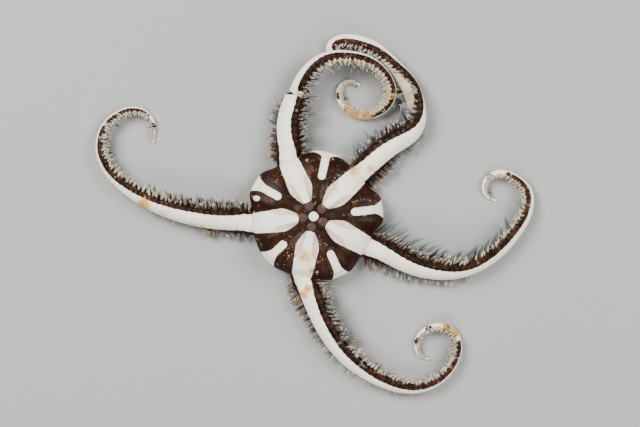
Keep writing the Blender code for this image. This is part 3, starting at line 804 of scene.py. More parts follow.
class Path:
    """The smooth middle line of one arm, measured along from the disc's margin."""

    def __init__(self, index, arm):
        ray = FIRST_RAY + RAY_STEP * arm.ray
        start = [(*polar(reach, ray), roll, 0.0) for reach, roll in PATH_START]
        stations = [(*station, 0.0)[:4] for station in arm.stations]
        points = natural_spline(start + stations, PATH_STEP)
        steps = np.linalg.norm(np.diff(points[:, :2], axis=0), axis=1)
        along = np.concatenate(([0.0], np.cumsum(steps)))
        root = np.argmax(np.hypot(points[:, 0], points[:, 1]) >= ROOT_RADIUS)
        self.index = index
        self.arm = arm
        self.along = along - along[root]
        self.length = self.along[-1]
        self.points = points
        self.heading = np.unwrap(np.arctan2(np.gradient(points[:, 1]), np.gradient(points[:, 0])))

    def radius(self, along):
        """Half the width of the arm."""
        share = np.clip(1.0 - np.maximum(along, 0.0) / self.length, 0.0, 1.0)
        size = self.arm.radius * share ** ARM_TAPER
        size = size * blend(ARM_ROOT_PINCH, 1.0, smoothstep(0, ARM_PINCH_LENGTH, along))
        if self.arm.regrown is not None:
            place = self.arm.regrown
            step = smoothstep(place - REGROWN_STEP, place + REGROWN_STEP, along)
            size = size * blend(1.0, REGROWN_RADIUS, step)
        return np.maximum(size, TIP_RADIUS)

    def frame(self, along):
        """Plan place, unit heading, unit way out of the curl, roll and lift."""
        x, y, roll, lift = (np.interp(along, self.along, column) for column in self.points.T)
        turn = np.interp(along, self.along, self.heading)
        ahead = np.stack((np.cos(turn), np.sin(turn)), axis=-1)
        outward = self.arm.curl * np.stack((ahead[..., 1], -ahead[..., 0]), axis=-1)
        return np.stack((x, y), axis=-1), ahead, outward, np.radians(roll), np.maximum(lift, 0.0)

    def middle_height(self, along):
        """Height of the middle line, with the skin just pressed onto the floor."""
        roll, lift = self.frame(along)[3:]
        size = self.radius(along)
        drop = np.hypot(size * np.sin(roll), size * ARM_HEIGHT_RATIO * np.cos(roll))
        return drop * (1.0 - BODY_SINK) + lift

    def skin(self, along, turn, swell=0.0):
        """Points of the skin and their outward directions, at angles from straight up."""
        place, ahead, outward, roll, lift = self.frame(along)
        size = self.radius(along)
        angle = turn - roll
        flat = np.cos(angle) / (size * ARM_HEIGHT_RATIO)
        reach = 1.0 / np.hypot(flat, np.sin(angle) / size) + swell
        level = outward * np.sin(turn)[..., None]
        lowest = HIDDEN_LIFT * (1.0 - smoothstep(*HIDDEN_END, along))
        height = np.maximum(self.middle_height(along) + reach * np.cos(turn), lowest)
        points = np.concatenate((place + level * reach[..., None], height[..., None]), axis=-1)
        normals = np.concatenate((level, np.cos(turn)[..., None]), axis=-1)
        return points, normals

    def segment(self, along):
        """Running count of segments from the margin."""
        first, last = SEGMENT_PITCH
        fall = (first - last) / self.length
        return -np.log(1.0 - fall * np.clip(along, FIRST_SEGMENT, self.length) / first) / fall

    def places(self):
        """The middle of each segment."""
        first, last = SEGMENT_PITCH
        fall = (first - last) / self.length
        count = int(self.segment(self.length))
        return [(1.0 - math.exp(-fall * (i + 0.5))) * first / fall for i in range(count)]

    def ivory_angle(self, along):
        """Half the angle of the ivory band, slightly scalloped by the segments."""
        wave = np.abs(np.sin(np.pi * self.segment(along))) - IVORY_LEVEL
        wide = np.interp(along, IVORY_PLACES, IVORY_HALF_ANGLES)
        return np.radians(wide + IVORY_SCALLOP * wave)

    def cream_angle(self, along):
        return np.radians(blend(*CREAM_ANGLE, smoothstep(*CREAM_RISE, along)))

    def tip_paleness(self, along):
        """Signed distance into the pale tip, with its brown patches left out."""
        start, patches = self.arm.tip
        pale = along - start
        for patch in patches:
            pale = np.minimum(pale, np.abs(along - patch) - PATCH_HALF_LENGTH)
        return pale

    def crack(self, along, angle):
        """Signed distance into the wedge-shaped crack on the outer side of a healed break."""
        if self.arm.regrown is None:
            return np.full(len(along), -1.0)
        degrees = np.degrees(angle)
        open_share = np.clip((degrees - CRACK_SHUT) / CRACK_OPENING, -1.0, 1.0)
        open_share = open_share - smoothstep(*CRACK_END, degrees)
        return CRACK_HALF_WIDTH * open_share - np.abs(along - self.arm.regrown)

    def swell(self, along, angle):
        """Rise of the plates above the smooth tube, at angles from the middle of the back."""
        size = self.radius(along)
        wave = np.abs(np.sin(np.pi * self.segment(along)))
        around = np.degrees(np.abs(angle))
        ivory = np.degrees(self.ivory_angle(along))
        cream = np.degrees(self.cream_angle(along))
        back = BACK_WAVE * (wave ** 0.5 - 1.0) * (around < ivory)
        side = smoothstep(ivory, ivory + SIDE_EDGES[0], around)
        side = side * (1 - smoothstep(cream, cream + SIDE_EDGES[1], around))
        crease = np.exp(-((around - ivory - CREASE_PLACE[0]) / CREASE_PLACE[1]) ** 2)
        under = np.exp(-((around - UNDER_PLACE[0]) / UNDER_PLACE[1]) ** 2)
        lumps = SIDE_LUMP * (wave ** 0.6 - SIDE_LEVEL) * side
        lumps = lumps - CREASE_DEPTH * crease - UNDER_DEPTH * under
        notch = -CRACK_DEPTH * smoothstep(*CRACK_EDGE, self.crack(along, angle))
        return size * (back + lumps + notch)


PATHS = [Path(index, arm) for index, arm in enumerate(ARMS)]


# Meshes

def new_object(name, data):
    item = bpy.data.objects.new(name, data)
    bpy.context.scene.collection.objects.link(item)
    return item


def write_values(mesh, kind, field, table):
    """Stores each row of a table of values on the points of a mesh."""
    for key, values in table.items():
        layer = mesh.attributes.new(key, kind, "POINT")
        layer.data.foreach_set(field, np.asarray(values, dtype=np.float32).ravel())


def grid_faces(rows, columns, start):
    """Quads between closed rings of points, wound so that they face outwards."""
    faces = []
    for i in range(rows - 1):
        for j in range(columns):
            k = (j + 1) % columns
            a, b = start + i * columns, start + (i + 1) * columns
            faces.append((a + j, a + k, b + k, b + j))
    return faces


def fan_faces(ring_start, columns, point, flip):
    faces = []
    for j in range(columns):
        k = (j + 1) % columns
        pair = (ring_start + k, ring_start + j) if flip else (ring_start + j, ring_start + k)
        faces.append((*pair, point))
    return faces


def stain_amount(points):
    total = np.zeros(len(points))
    for x, y, size, strength in STAINS:
        reach = np.hypot(points[:, 0] - x, points[:, 1] - y) / size
        total = np.maximum(total, strength * np.exp(-reach ** 2 * STAIN_FALL))
    return total


def disc_ring(group, share, margin, angles):
    """Points and surface values round one ring of the disc's back, side or sole."""
    radius = share * margin
    level = np.zeros(len(angles))
    values = {"ivory": disc_ivory(radius, angles), "olive": level, "plum": level - 1.0,
              "facet": stripe_facet(radius, angles), "crack": level - 1.0}
    if group == "back":
        height = back_height(radius, angles, share)
        values["cream"] = level - 2.0
        side = across_band(radius, angles)
        olive = (1 - smoothstep(*OLIVE_EDGE, side)) * (1 - smoothstep(*OLIVE_END, radius))
        values["olive"] = olive * smoothstep(*OLIVE_START, radius)
        along, across = across_ray(radius, angles)
        values["plum"] = RING_PLATE_RADIUS - np.hypot(along - RING_PLATE_PLACE, across)
    elif group == "side":
        rest = (share - DISC_FOOT) / (1.0 - DISC_FOOT)
        height = level + DISC_WAIST * (1.0 - math.sqrt(1.0 - rest ** 2))
        values["cream"] = CREAM_BELOW - height
    else:
        height = sole_height(radius, angles)
        values["cream"] = level + SOLE_CREAM
        # Painted shade, dark as the crack, high in the hollow of the mouth
        values["crack"] = MOUTH_SHADE_SHARPNESS * (height - MOUTH_SHADE_HEIGHT)
    if group != "back":
        values["ivory"] = np.minimum(values["ivory"], height - IVORY_ABOVE)
    return np.stack((*polar(radius, angles), height), axis=-1), values


def disc_shell():
    """Points, faces and surface values of the disc."""
    angles = FIRST_RAY + np.arange(DISC_COLUMNS) * 360.0 / DISC_COLUMNS
    margin = margin_radius(angles)
    rim = 1 - (1 - RIM_START) * (1 - np.linspace(0, 1, RIM_ROWS)) ** RIM_SPACING
    inward = np.linspace(1.0, 0.0, SIDE_ROWS + 1)[1:]
    groups = {
        "back": (*np.linspace(DOME_START, RIM_START, DOME_ROWS, endpoint=False), *rim),
        "side": DISC_FOOT + (1.0 - DISC_FOOT) * inward,
        "sole": np.linspace(DISC_FOOT, SOLE_END, SOLE_ROWS)[1:],
    }
    rings = [disc_ring(group, share, margin, angles) for group in groups for share in groups[group]]
    count = len(rings)
    poles = [(0, 0, DISC_HEIGHT + PLATE_RISE), (0, 0, MOUTH_DEPTH)]
    points = np.concatenate([ring for ring, _ in rings] + [poles])
    faces = [face[::-1] for face in grid_faces(count, DISC_COLUMNS, 0)]
    last = count * DISC_COLUMNS
    faces += fan_faces(0, DISC_COLUMNS, last, False)
    faces += fan_faces(last - DISC_COLUMNS, DISC_COLUMNS, last + 1, True)
    data = {key: np.concatenate([values[key] for _, values in rings] + [pair])
            for key, pair in POLE_VALUES.items()}
    # Distance from the disc's margin, which guides the painted shade in the step there
    data["rim"] = ROOT_RADIUS - np.hypot(points[:, 0], points[:, 1])
    for key, value in (("disc", 1.0), ("segment", 0.5), ("pale_edge", 0.0), ("outness", 0.0)):
        data[key] = np.full(len(points), value)
    return points, faces, data


def arm_shell(path):
    """Points, faces and surface values of one arm."""
    rings = np.arange(ARM_INNER_END, path.length - 0.5 * ARM_RING_STEP, ARM_RING_STEP)
    if path.arm.regrown is not None:
        rings = np.sort(np.concatenate((rings, path.arm.regrown + CRACK_RINGS)))
    rings = np.append(rings, path.length)
    count = len(rings)
    along = np.repeat(rings, ARM_COLUMNS)
    turn = np.tile(2.0 * np.pi * np.arange(ARM_COLUMNS) / ARM_COLUMNS, count)
    roll = path.frame(along)[3]
    angle = turn - roll * smoothstep(*ROLL_START, along)
    angle = (angle + np.pi) % (2.0 * np.pi) - np.pi
    points = path.skin(along, turn, path.swell(along, angle))[0]
    size = path.radius(along)
    ivory = (path.ivory_angle(along) - np.abs(angle)) * size
    cream = (np.abs(angle) - path.cream_angle(along)) * size
    pale = path.tip_paleness(along)
    past = along > path.arm.tip[0]
    ivory = np.where(past, np.maximum(pale, np.minimum(ivory, pale + PATCH_EDGES[0])), ivory)
    cream = np.where(past, np.minimum(cream, pale + PATCH_EDGES[1]), cream)
    edge = np.zeros(len(along))
    if path.arm.regrown is not None:
        collar = 1.0 - np.abs(along - path.arm.regrown - COLLAR_PLACE) / COLLAR_REACH
        edge = np.clip(collar, 0, 1) * (-np.degrees(angle) > COLLAR_ANGLE)
    place = path.frame(path.length)
    tip = np.append(place[0] + place[1] * TIP_RADIUS, path.middle_height(path.length))
    root = np.append(path.frame(ARM_INNER_END)[0], path.middle_height(ARM_INNER_END))
    points = np.concatenate((points, [tip, root]))
    faces = grid_faces(count, ARM_COLUMNS, 0)
    last = count * ARM_COLUMNS
    faces += fan_faces(last - ARM_COLUMNS, ARM_COLUMNS, last, False)
    faces += fan_faces(0, ARM_COLUMNS, last + 1, True)
    if path.arm.curl < 0:
        faces = [face[::-1] for face in faces]
    data = {"ivory": ivory, "cream": cream, "segment": path.segment(along), "pale_edge": edge,
            "rim": -along, "crack": path.crack(along, angle),
            "outness": np.clip(along / path.length, 0.0, 1.0)}
    data = {key: np.append(values, [values[-1], values[0]]) for key, values in data.items()}
    for key, value in (("olive", 0.0), ("plum", -1.0), ("disc", 0.0), ("facet", -1.0)):
        data[key] = np.full(len(points), value)
    return points, faces, data


def skin_object():
    """The disc and the arms as one skin."""
    all_points, all_faces, all_data = [], [], {}
    start = 0
    for points, faces, data in [disc_shell()] + [arm_shell(path) for path in PATHS]:
        all_points.append(points)
        all_faces += [tuple(i + start for i in face) for face in faces]
        for key, values in data.items():
            all_data.setdefault(key, []).append(values)
        start += len(points)
    points = np.concatenate(all_points)
    data = {key: np.concatenate(lists) for key, lists in all_data.items()}
    data["stain"] = stain_amount(points)
    mesh = bpy.data.meshes.new("skin")
    mesh.from_pydata(metres(points).tolist(), [], all_faces)
    mesh.update()
    write_values(mesh, "FLOAT", "value", data)
    mesh.shade_smooth()
    return new_object("skin", mesh)


# Shader building

class Shader:
    """A short way to lay out nodes in a tree."""

    def __init__(self, tree):
        self.tree = tree

    def node(self, kind, **settings):
        item = self.tree.nodes.new(kind)
        for key, value in settings.items():
            setattr(item, key, value)
        return item

    def feed(self, socket, value):
        if isinstance(value, bpy.types.NodeSocket):
            self.tree.links.new(value, socket)
        elif socket.type == "RGBA" and len(value) == 3:
            socket.default_value = (*value, 1.0)
        else:
            socket.default_value = value

    def made(self, kind, output, inputs, **settings):
        """One output of a new node, with its inputs fed."""
        item = self.node(kind, **settings)
        for name, value in inputs.items():
            self.feed(item.inputs[name], value)
        return item.outputs[output]

    def attribute(self, name):
        return self.made("ShaderNodeAttribute", "Fac", {}, attribute_name=name)

    def place(self):
        return self.made("ShaderNodeTexCoord", "Object", {})

    def math(self, operation, a, b=0.0, c=0.0):
        return self.made("ShaderNodeMath", 0, {0: a, 1: b, 2: c}, operation=operation)

    def noise(self, scale, detail, roughness):
        return self.made("ShaderNodeTexNoise", "Fac",
                         {"Vector": self.place(), "Scale": scale, "Detail": detail,
                          "Roughness": roughness})

    def cells(self, scale, feature="F1"):
        return self.made("ShaderNodeTexVoronoi", "Distance",
                         {"Vector": self.place(), "Scale": scale}, feature=feature)

    def span(self, value, low, high, to_low=0.0, to_high=1.0):
        return self.made("ShaderNodeMapRange", "Result",
                         {"Value": value, "From Min": low, "From Max": high, "To Min": to_low,
                          "To Max": to_high}, interpolation_type="SMOOTHSTEP")

    def mix(self, share, a, b, blend_type="MIX"):
        return self.made("ShaderNodeMix", 2, {"Factor": share, 6: a, 7: b}, data_type="RGBA",
                         blend_type=blend_type)

    def bump(self, height, strength, distance, normal=None):
        inputs = {"Height": height, "Strength": strength, "Distance": distance}
        if normal is not None:
            inputs["Normal"] = normal
        return self.made("ShaderNodeBump", "Normal", inputs)

    def unsettle(self, value, amount, pattern):
        """The value, moved up or down by at most half the amount as the pattern says."""
        shift = self.math("MULTIPLY_ADD", pattern, amount, -0.5 * amount)
        return self.math("ADD", value, shift)

    def rest(self, share):
        """What a share leaves of the whole."""
        return self.math("SUBTRACT", 1.0, share)


def mottle_group():
    """Soft blotches over finer specks, and a grainy normal, for any living surface."""
    tree = bpy.data.node_groups.new("mottle", "ShaderNodeTree")
    inputs = (("Blotch Scale", 500.0), ("Speck Scale", 3000.0), ("Grain Depth", 0.00002))
    for label, value in inputs:
        socket = tree.interface.new_socket(name=label, in_out="INPUT",
                                           socket_type="NodeSocketFloat")
        socket.default_value = value
    for label, kind in (("Blotch", "Float"), ("Speck", "Float"), ("Normal", "Vector")):
        tree.interface.new_socket(name=label, in_out="OUTPUT", socket_type="NodeSocket" + kind)
    shader = Shader(tree)
    given, result = shader.node("NodeGroupInput").outputs, shader.node("NodeGroupOutput")
    blotch = shader.noise(given["Blotch Scale"], *BLOTCH_DETAIL)
    speck = shader.noise(given["Speck Scale"], *SPECK_DETAIL)
    shader.feed(result.inputs["Blotch"], blotch)
    shader.feed(result.inputs["Speck"], speck)
    shader.feed(result.inputs["Normal"], shader.bump(speck, GRAIN_BUMP, given["Grain Depth"]))
    return tree


def new_material(name):
    material = bpy.data.materials.new(name)
    material.use_nodes = True
    return material, material.node_tree.nodes["Principled BSDF"].inputs


class Painter(Shader):
    """Paints a mottled material with layers of colour, guided by values on the mesh."""

    def __init__(self, name, looks, value_names):
        self.material, self.surface = new_material(name)
        super().__init__(self.material.node_tree)
        self.looks = looks
        self.values = {key: self.attribute(key) for key in value_names}
        tree = bpy.data.node_groups.get("mottle") or mottle_group()
        mottle = self.node("ShaderNodeGroup", node_tree=tree)
        for label, value in zip(("Blotch Scale", "Speck Scale", "Grain Depth"), MOTTLES[name]):
            self.feed(mottle.inputs[label], value)
        self.values["blotch"] = mottle.outputs["Blotch"]
        self.values["speck"] = mottle.outputs["Speck"]
        self.normal = mottle.outputs["Normal"]

    def paint(self, colour, kind):
        """Lays every layer of one kind over a colour."""
        for layer in LAYERS[kind]:
            over = layer.colour
            if isinstance(over, str):
                over = getattr(self.looks, over)
            share = self.span(self.values[layer.guide], *layer[1:5])
            colour = self.mix(share, colour, over)
        return colour

    def finish(self, colour, roughness, normal):
        self.feed(self.surface["Base Color"], colour)
        self.feed(self.surface["Roughness"], roughness)
        self.feed(self.surface["Normal"], normal)
        return self.material


def skin_material(looks):
    """Ivory bands, chocolate skin, cream under side and ochre stains, with painted shade in places.
    """
    shader = Painter("living_skin", looks, SKIN_VALUES)
    value = shader.values
    noise = {name: shader.noise(*pattern) for name, pattern in SKIN_NOISE.items()}
    disc = value["disc"]
    arms = shader.rest(disc)
    ivory = shader.unsettle(value["ivory"], IVORY_WOBBLE, noise["ivory"])
    ivory_mask = shader.span(ivory, *IVORY_RANGE)
    cream = shader.unsettle(value["cream"], CREAM_FRAY, noise["cream"])
    cream_mask = shader.span(cream, *CREAM_RANGE)
    phase = shader.math("FRACT", value["segment"])
    lump = shader.math("SINE", shader.math("MULTIPLY", phase, math.pi))
    value["lump"] = lump
    value["rim"] = shader.math("ABSOLUTE", value["rim"])
    value["healed"] = shader.unsettle(value["pale_edge"], HEALED_FRAY, noise["healed"])
    value["grainy"] = shader.math("MULTIPLY_ADD", noise["grainy"], STAIN_GRAIN, value["stain"])
    patchy = shader.math("MULTIPLY_ADD", lump, PATCHY_LUMPS, noise["patchy"])
    pallor = shader.math("MULTIPLY_ADD", value["outness"], PALLOR_OUTWARD, noise["pallor"])

    deep = shader.mix(DEEP_SHARE, looks.brown, DEEP_BROWN)
    russet = shader.paint(looks.brown, "side")
    side = shader.mix(shader.span(patchy, *PATCHY_RANGE), deep, russet)
    dark = shader.mix(disc, side, shader.paint(looks.brown, "shield"))
    dark = shader.mix(shader.math("MULTIPLY", value["olive"], OLIVE_SHARE), dark, looks.olive)
    dark = shader.paint(dark, "plates")
    flecks = shader.span(shader.cells(FLECK_SCALE), *FLECK_RANGE)
    flecks = shader.math("MULTIPLY", flecks, shader.span(noise["flecks"], *FLECK_ZONE))
    flecks = shader.math("MULTIPLY", flecks, shader.span(disc, 0.0, 1.0, *FLECK_SHARES))
    dark = shader.mix(flecks, dark, looks.gold)

    # The pale layers include painted shade on the stripes' sides, the ivory's edges and the disc's
    # margin
    pale = shader.paint(looks.ivory, "pale")
    joint = shader.math("MULTIPLY", shader.span(lump, *JOINT_RANGE), arms)
    pale = shader.mix(joint, pale, JOINT_SHADE)
    under = shader.paint(looks.cream, "under")
    dark = shader.mix(shader.span(pallor, *PALLOR_RANGE), dark, under)
    colour = shader.mix(ivory_mask, shader.mix(cream_mask, dark, under), pale)
    # Pale healed tissue, then painted shade in the crack and the mouth
    colour = shader.paint(colour, "wounds_and_shade")
    tinge = shader.span(value["stain"], *TINGE_RANGE)
    colour = shader.mix(tinge, colour, STAIN_TINGE, "MULTIPLY")
    colour = shader.paint(colour, "stains")

    light = shader.math("MAXIMUM", ivory_mask, cream_mask)
    rough = shader.span(light, 0.0, 1.0, *SKIN_ROUGHNESS)
    rough = shader.unsettle(rough, ROUGHNESS_SPREAD, value["speck"])
    pebbles = shader.cells(PEBBLE_SCALE, "SMOOTH_F1")
    pebbles = shader.math("MULTIPLY", pebbles, shader.rest(ivory_mask))
    normal = shader.bump(pebbles, *PEBBLE_BUMP, shader.normal)
    groove = shader.math("MULTIPLY", shader.span(lump, 0.0, 0.25), arms)
    normal = shader.bump(groove, *GROOVE_BUMP, normal)
    shader.surface["Specular IOR Level"].default_value = SKIN_SPECULAR
    shader.surface["Subsurface Weight"].default_value = SKIN_GLOW
    shader.surface["Subsurface Scale"].default_value = GLOW_DEPTH
    shader.surface["Subsurface Radius"].default_value = GLOW_REACH
    return shader.finish(colour, rough, normal)


def spine_material(looks):
    """Blue-grey glassy spines with pale tips, and brown stubs with cream tips."""
    shader = Painter("spines", looks, ("kind", "reach", "tint", "pale", "grey", "stain"))
    value = shader.values
    tint = value["tint"]
    glass = shader.paint(looks.spine_root, "glass")
    tip = shader.paint(looks.stub_tip, "stub_tip")
    stub = shader.paint(looks.spine_root, "stub")
    stub = shader.mix(shader.span(value["reach"], *STUB_TIP_RANGE), stub, tip)
    stub = shader.paint(stub, "stub_blotches")
    stub = shader.mix(value["pale"], stub, shader.paint(CREAM_ROOT, "cream_stub"))
    grey_tip = shader.mix(tint, GREY_END, looks.spine_tip)
    grey = shader.mix(shader.span(value["reach"], *GREY_TIP_RANGE), GREY_ROOT, grey_tip)
    stub = shader.mix(value["grey"], stub, grey)
    colour = shader.mix(value["kind"], glass, stub)
    stain = shader.math("MULTIPLY", value["stain"], shader.span(tint, *SPINE_STAIN_RANGE))
    colour = shader.mix(stain, colour, looks.ochre)
    shader.surface["IOR"].default_value = SPINE_IOR
    rough = shader.span(value["kind"], 0.0, 1.0, *SPINE_ROUGHNESS)
    return shader.finish(colour, rough, shader.normal)


def grain_material(looks):
    """Clinging sand and shell crumbs, from ochre to white."""
    shader = Painter("clinging_grains", looks, ("tint", "grey", "stain"))
    value = shader.values
    colour = shader.paint(looks.gold, "crumb")
    fresh = shader.span(value["tint"], *GRAIN_STAIN_RANGE)
    stain = shader.math("MULTIPLY", value["stain"], fresh)
    colour = shader.mix(stain, colour, looks.ochre)
    colour = shader.mix(value["grey"], colour, shader.mix(value["tint"], *DUST))
    colour = shader.paint(colour, "crumb_specks")
    return shader.finish(colour, GRAIN_ROUGHNESS, shader.normal)


# Geometry Nodes

class Geometry(Shader):
    """The same short way, for Geometry Nodes."""

    def named(self, name, kind="FLOAT_VECTOR"):
        return self.made("GeometryNodeInputNamedAttribute", "Attribute", {"Name": name},
                         data_type=kind)

    def store(self, geometry, name, kind, value, domain="POINT"):
        return self.made("GeometryNodeStoreNamedAttribute", "Geometry",
                         {"Geometry": geometry, "Name": name, "Value": value},
                         data_type=kind, domain=domain)

    def scaled(self, vector, scale):
        return self.made("ShaderNodeVectorMath", 0, {0: vector, "Scale": scale},
                         operation="SCALE")

    def position(self):
        return self.made("GeometryNodeInputPosition", "Position", {})

    def on_geometry(self, kind, geometry, **inputs):
        """What a node makes of the geometry that it is given."""
        return self.made(kind, "Geometry", {"Geometry": geometry, **inputs})


def new_tree(name, inputs):
    """A tree that takes points and named inputs, with its tools, its inputs and its result."""
    tree = bpy.data.node_groups.new(name, "GeometryNodeTree")
    inputs = (("Geometry", "Geometry", None), *inputs, ("Patch Size", "Float", 0.003),
              ("Material", "Material", None))
    for label, kind, value in inputs:
        socket = tree.interface.new_socket(name=label, in_out="INPUT",
                                           socket_type="NodeSocket" + kind)
        if value is not None:
            socket.default_value = value
    tree.interface.new_socket(name="Geometry", in_out="OUTPUT", socket_type="NodeSocketGeometry")
    nodes = Geometry(tree)
    return tree, nodes, nodes.node("NodeGroupInput").outputs, nodes.node("NodeGroupOutput").inputs


def finish_tree(nodes, shape, given, result):
    """Places the shape on every point, bends it and gives it its patch of the bake map."""
    turn = nodes.made("FunctionNodeEulerToRotation", "Rotation", {"Euler": nodes.named("facing")})
    copies = nodes.made("GeometryNodeInstanceOnPoints", "Instances",
                        {"Points": given["Geometry"], "Instance": shape, "Rotation": turn,
                         "Scale": nodes.named("size")})
    real = nodes.on_geometry("GeometryNodeRealizeInstances", copies)
    reach = nodes.named("reach", "FLOAT")
    bend = nodes.scaled(nodes.named("bend"), nodes.math("MULTIPLY", reach, reach))
    bent = nodes.on_geometry("GeometryNodeSetPosition", real, Offset=bend)
    patch = nodes.scaled(nodes.named("spot"), given["Patch Size"])
    spot = nodes.made("ShaderNodeVectorMath", 0, {0: nodes.named("root_place"), 1: patch},
                      operation="ADD")
    mapped = nodes.store(bent, BAKE_MAP, "FLOAT2", spot, "CORNER")
    smooth = nodes.on_geometry("GeometryNodeSetShadeSmooth", mapped)
    painted = nodes.on_geometry("GeometryNodeSetMaterial", smooth, Material=given["Material"])
    nodes.feed(result["Geometry"], painted)


def spine_tree():
    """A tapering, rounded spine on each point."""
    tree, nodes, given, result = new_tree("spines_on_points", (
        ("Sides", "Int", 6), ("Rings", "Int", 8), ("Tip Width", "Float", 0.16),
        ("Taper", "Float", 1.3), ("Rounding", "Float", 0.1)))
    line = nodes.made("GeometryNodeCurvePrimitiveLine", "Curve", {"End": (0.0, 0.0, 1.0)})
    rings = nodes.made("GeometryNodeResampleCurve", "Curve",
                       {"Curve": line, "Count": given["Rings"]})
    share = nodes.made("GeometryNodeSplineParameter", "Factor", {})
    left = nodes.math("POWER", nodes.rest(share), RING_SPACING)
    upright = nodes.made("ShaderNodeCombineXYZ", "Vector", {"Z": nodes.rest(left)})
    spaced = nodes.on_geometry("GeometryNodeSetPosition", rings, Position=upright)
    height = nodes.made("ShaderNodeSeparateXYZ", "Z", {"Vector": nodes.position()})
    marked = nodes.store(spaced, "reach", "FLOAT", height)
    reach = nodes.named("reach", "FLOAT")
    fall = nodes.math("POWER", reach, given["Taper"])
    loss = nodes.math("SUBTRACT", given["Tip Width"], 1.0)
    width = nodes.math("MULTIPLY_ADD", fall, loss, 1.0)
    cap = nodes.math("DIVIDE", nodes.rest(reach), given["Rounding"])
    cap = nodes.math("MINIMUM", nodes.math("ADD", cap, CAP_START), 1.0)
    width = nodes.math("MULTIPLY", width, nodes.math("POWER", cap, 0.5))
    profile = nodes.made("GeometryNodeCurvePrimitiveCircle", "Curve",
                         {"Resolution": given["Sides"], "Radius": 0.5})
    tube = nodes.made("GeometryNodeCurveToMesh", "Mesh",
                      {"Curve": marked, "Scale": width, "Profile Curve": profile,
                       "Fill Caps": True})
    apart = nodes.node("ShaderNodeSeparateXYZ")
    nodes.feed(apart.inputs["Vector"], nodes.position())
    high = nodes.math("MULTIPLY_ADD", apart.outputs["Y"], PATCH_SLANT, apart.outputs["Z"])
    flat = nodes.made("ShaderNodeCombineXYZ", "Vector", {"X": apart.outputs["X"], "Y": high})
    finish_tree(nodes, nodes.store(tube, "spot", "FLOAT_VECTOR", flat), given, result)
    return tree


def grain_tree():
    """An uneven crumb on each point."""
    tree, nodes, given, result = new_tree("grains_on_points", ())
    ball = nodes.made("GeometryNodeMeshIcoSphere", "Mesh", {"Radius": 0.5, "Subdivisions": 2})
    place = nodes.position()
    rough = nodes.made("ShaderNodeTexNoise", "Fac", {"Vector": place, "Scale": CRUMB_NOISE})
    push = nodes.math("MULTIPLY_ADD", rough, CRUMB_PUSH, -0.5 * CRUMB_PUSH)
    pushed = nodes.on_geometry("GeometryNodeSetPosition", ball, Offset=nodes.scaled(place, push))
    marked = nodes.store(pushed, "reach", "FLOAT", 0.0)
    finish_tree(nodes, nodes.store(marked, "spot", "FLOAT_VECTOR", place), given, result)
    return tree


Thing = namedtuple("Thing", "root direction width length bend spot kind pale grey tint")


def scatter(name, things, tree, inputs):
    """Turns a list of placed things into one plain mesh by way of a Geometry Nodes tree."""
    mesh = bpy.data.meshes.new(name + "_points")
    roots = np.array([thing.root for thing in things])
    mesh.from_pydata(metres(roots).tolist(), [], [])
    write_values(mesh, "FLOAT_VECTOR", "vector", {
        "facing": [Vector(t.direction).to_track_quat("Z", "Y").to_euler() for t in things],
        "size": [(t.width * MM, t.width * MM, t.length * MM) for t in things],
        "bend": [tuple(np.asarray(t.bend) * MM) for t in things],
        "root_place": [(*t.spot, 0.0) for t in things],
    })
    write_values(mesh, "FLOAT", "value", {
        "kind": [min(t.kind, STUB) for t in things],
        "pale": [t.pale for t in things],
        "grey": [t.grey for t in things],
        "tint": [t.tint for t in things],
        "stain": stain_amount(roots),
    })
    holder = new_object(name + "_points", mesh)
    modifier = holder.modifiers.new("scatter", "NODES")
    modifier.node_group = tree
    for item in tree.interface.items_tree:
        if item.in_out == "INPUT" and item.name in inputs:
            modifier[item.identifier] = inputs[item.name]
    graph = bpy.context.evaluated_depsgraph_get()
    result = bpy.data.meshes.new_from_object(holder.evaluated_get(graph))
    holder.modifiers.remove(modifier)
    bpy.data.objects.remove(holder, do_unlink=True)
    bpy.data.meshes.remove(mesh)
    result.name = name
    for key in ("facing", "size", "bend", "root_place", "spot"):
        layer = result.attributes.get(key)
        if layer is not None:
            result.attributes.remove(layer)
    return new_object(name, result)


# Spines

class Crowd:
    """Every arm's middle line as a string of balls, to keep spines out of the other arms."""

    def __init__(self):
        balls = []
        for path in PATHS:
            for along in np.arange(0.0, path.length, BALL_STEP):
                middle = (*path.frame(along)[0], path.middle_height(along))
                balls.append((*middle, path.radius(along), path.index, along))
        self.balls = np.array(balls)

    def is_clear(self, point, index, along):
        own = (self.balls[:, 4] == index) & (abs(self.balls[:, 5] - along) < OWN_REACH)
        others = self.balls[~own]
        gaps = np.linalg.norm(others[:, :3] - point, axis=1) - others[:, 3]
        return gaps.min() > CLEAR_GAP


def spine_root(path, along, side, angle, width):
    """The place, outward direction and angle of a spine above the floor, or None if hidden."""
    roll = float(path.frame(along)[3])
    turn = (roll + side * math.radians(angle) + math.pi) % (2.0 * math.pi) - math.pi
    if abs(turn) > math.radians(HIDDEN_ROOT):
        return None
    steepest = math.radians(STEEPEST_ROOT)
    turn = max(-steepest, min(steepest, turn))
    low = max(LOWEST_ROOT, width * LOWEST_ROOT_WIDTHS)
    low = min(low, float(path.middle_height(along)) * HIGHEST_FOOTING)
    point, normal = path.skin(np.array(along), np.array(turn))
    while point[2] < low:
        turn *= TURN_BACK
        point, normal = path.skin(np.array(along), np.array(turn))
    return point, normal, turn


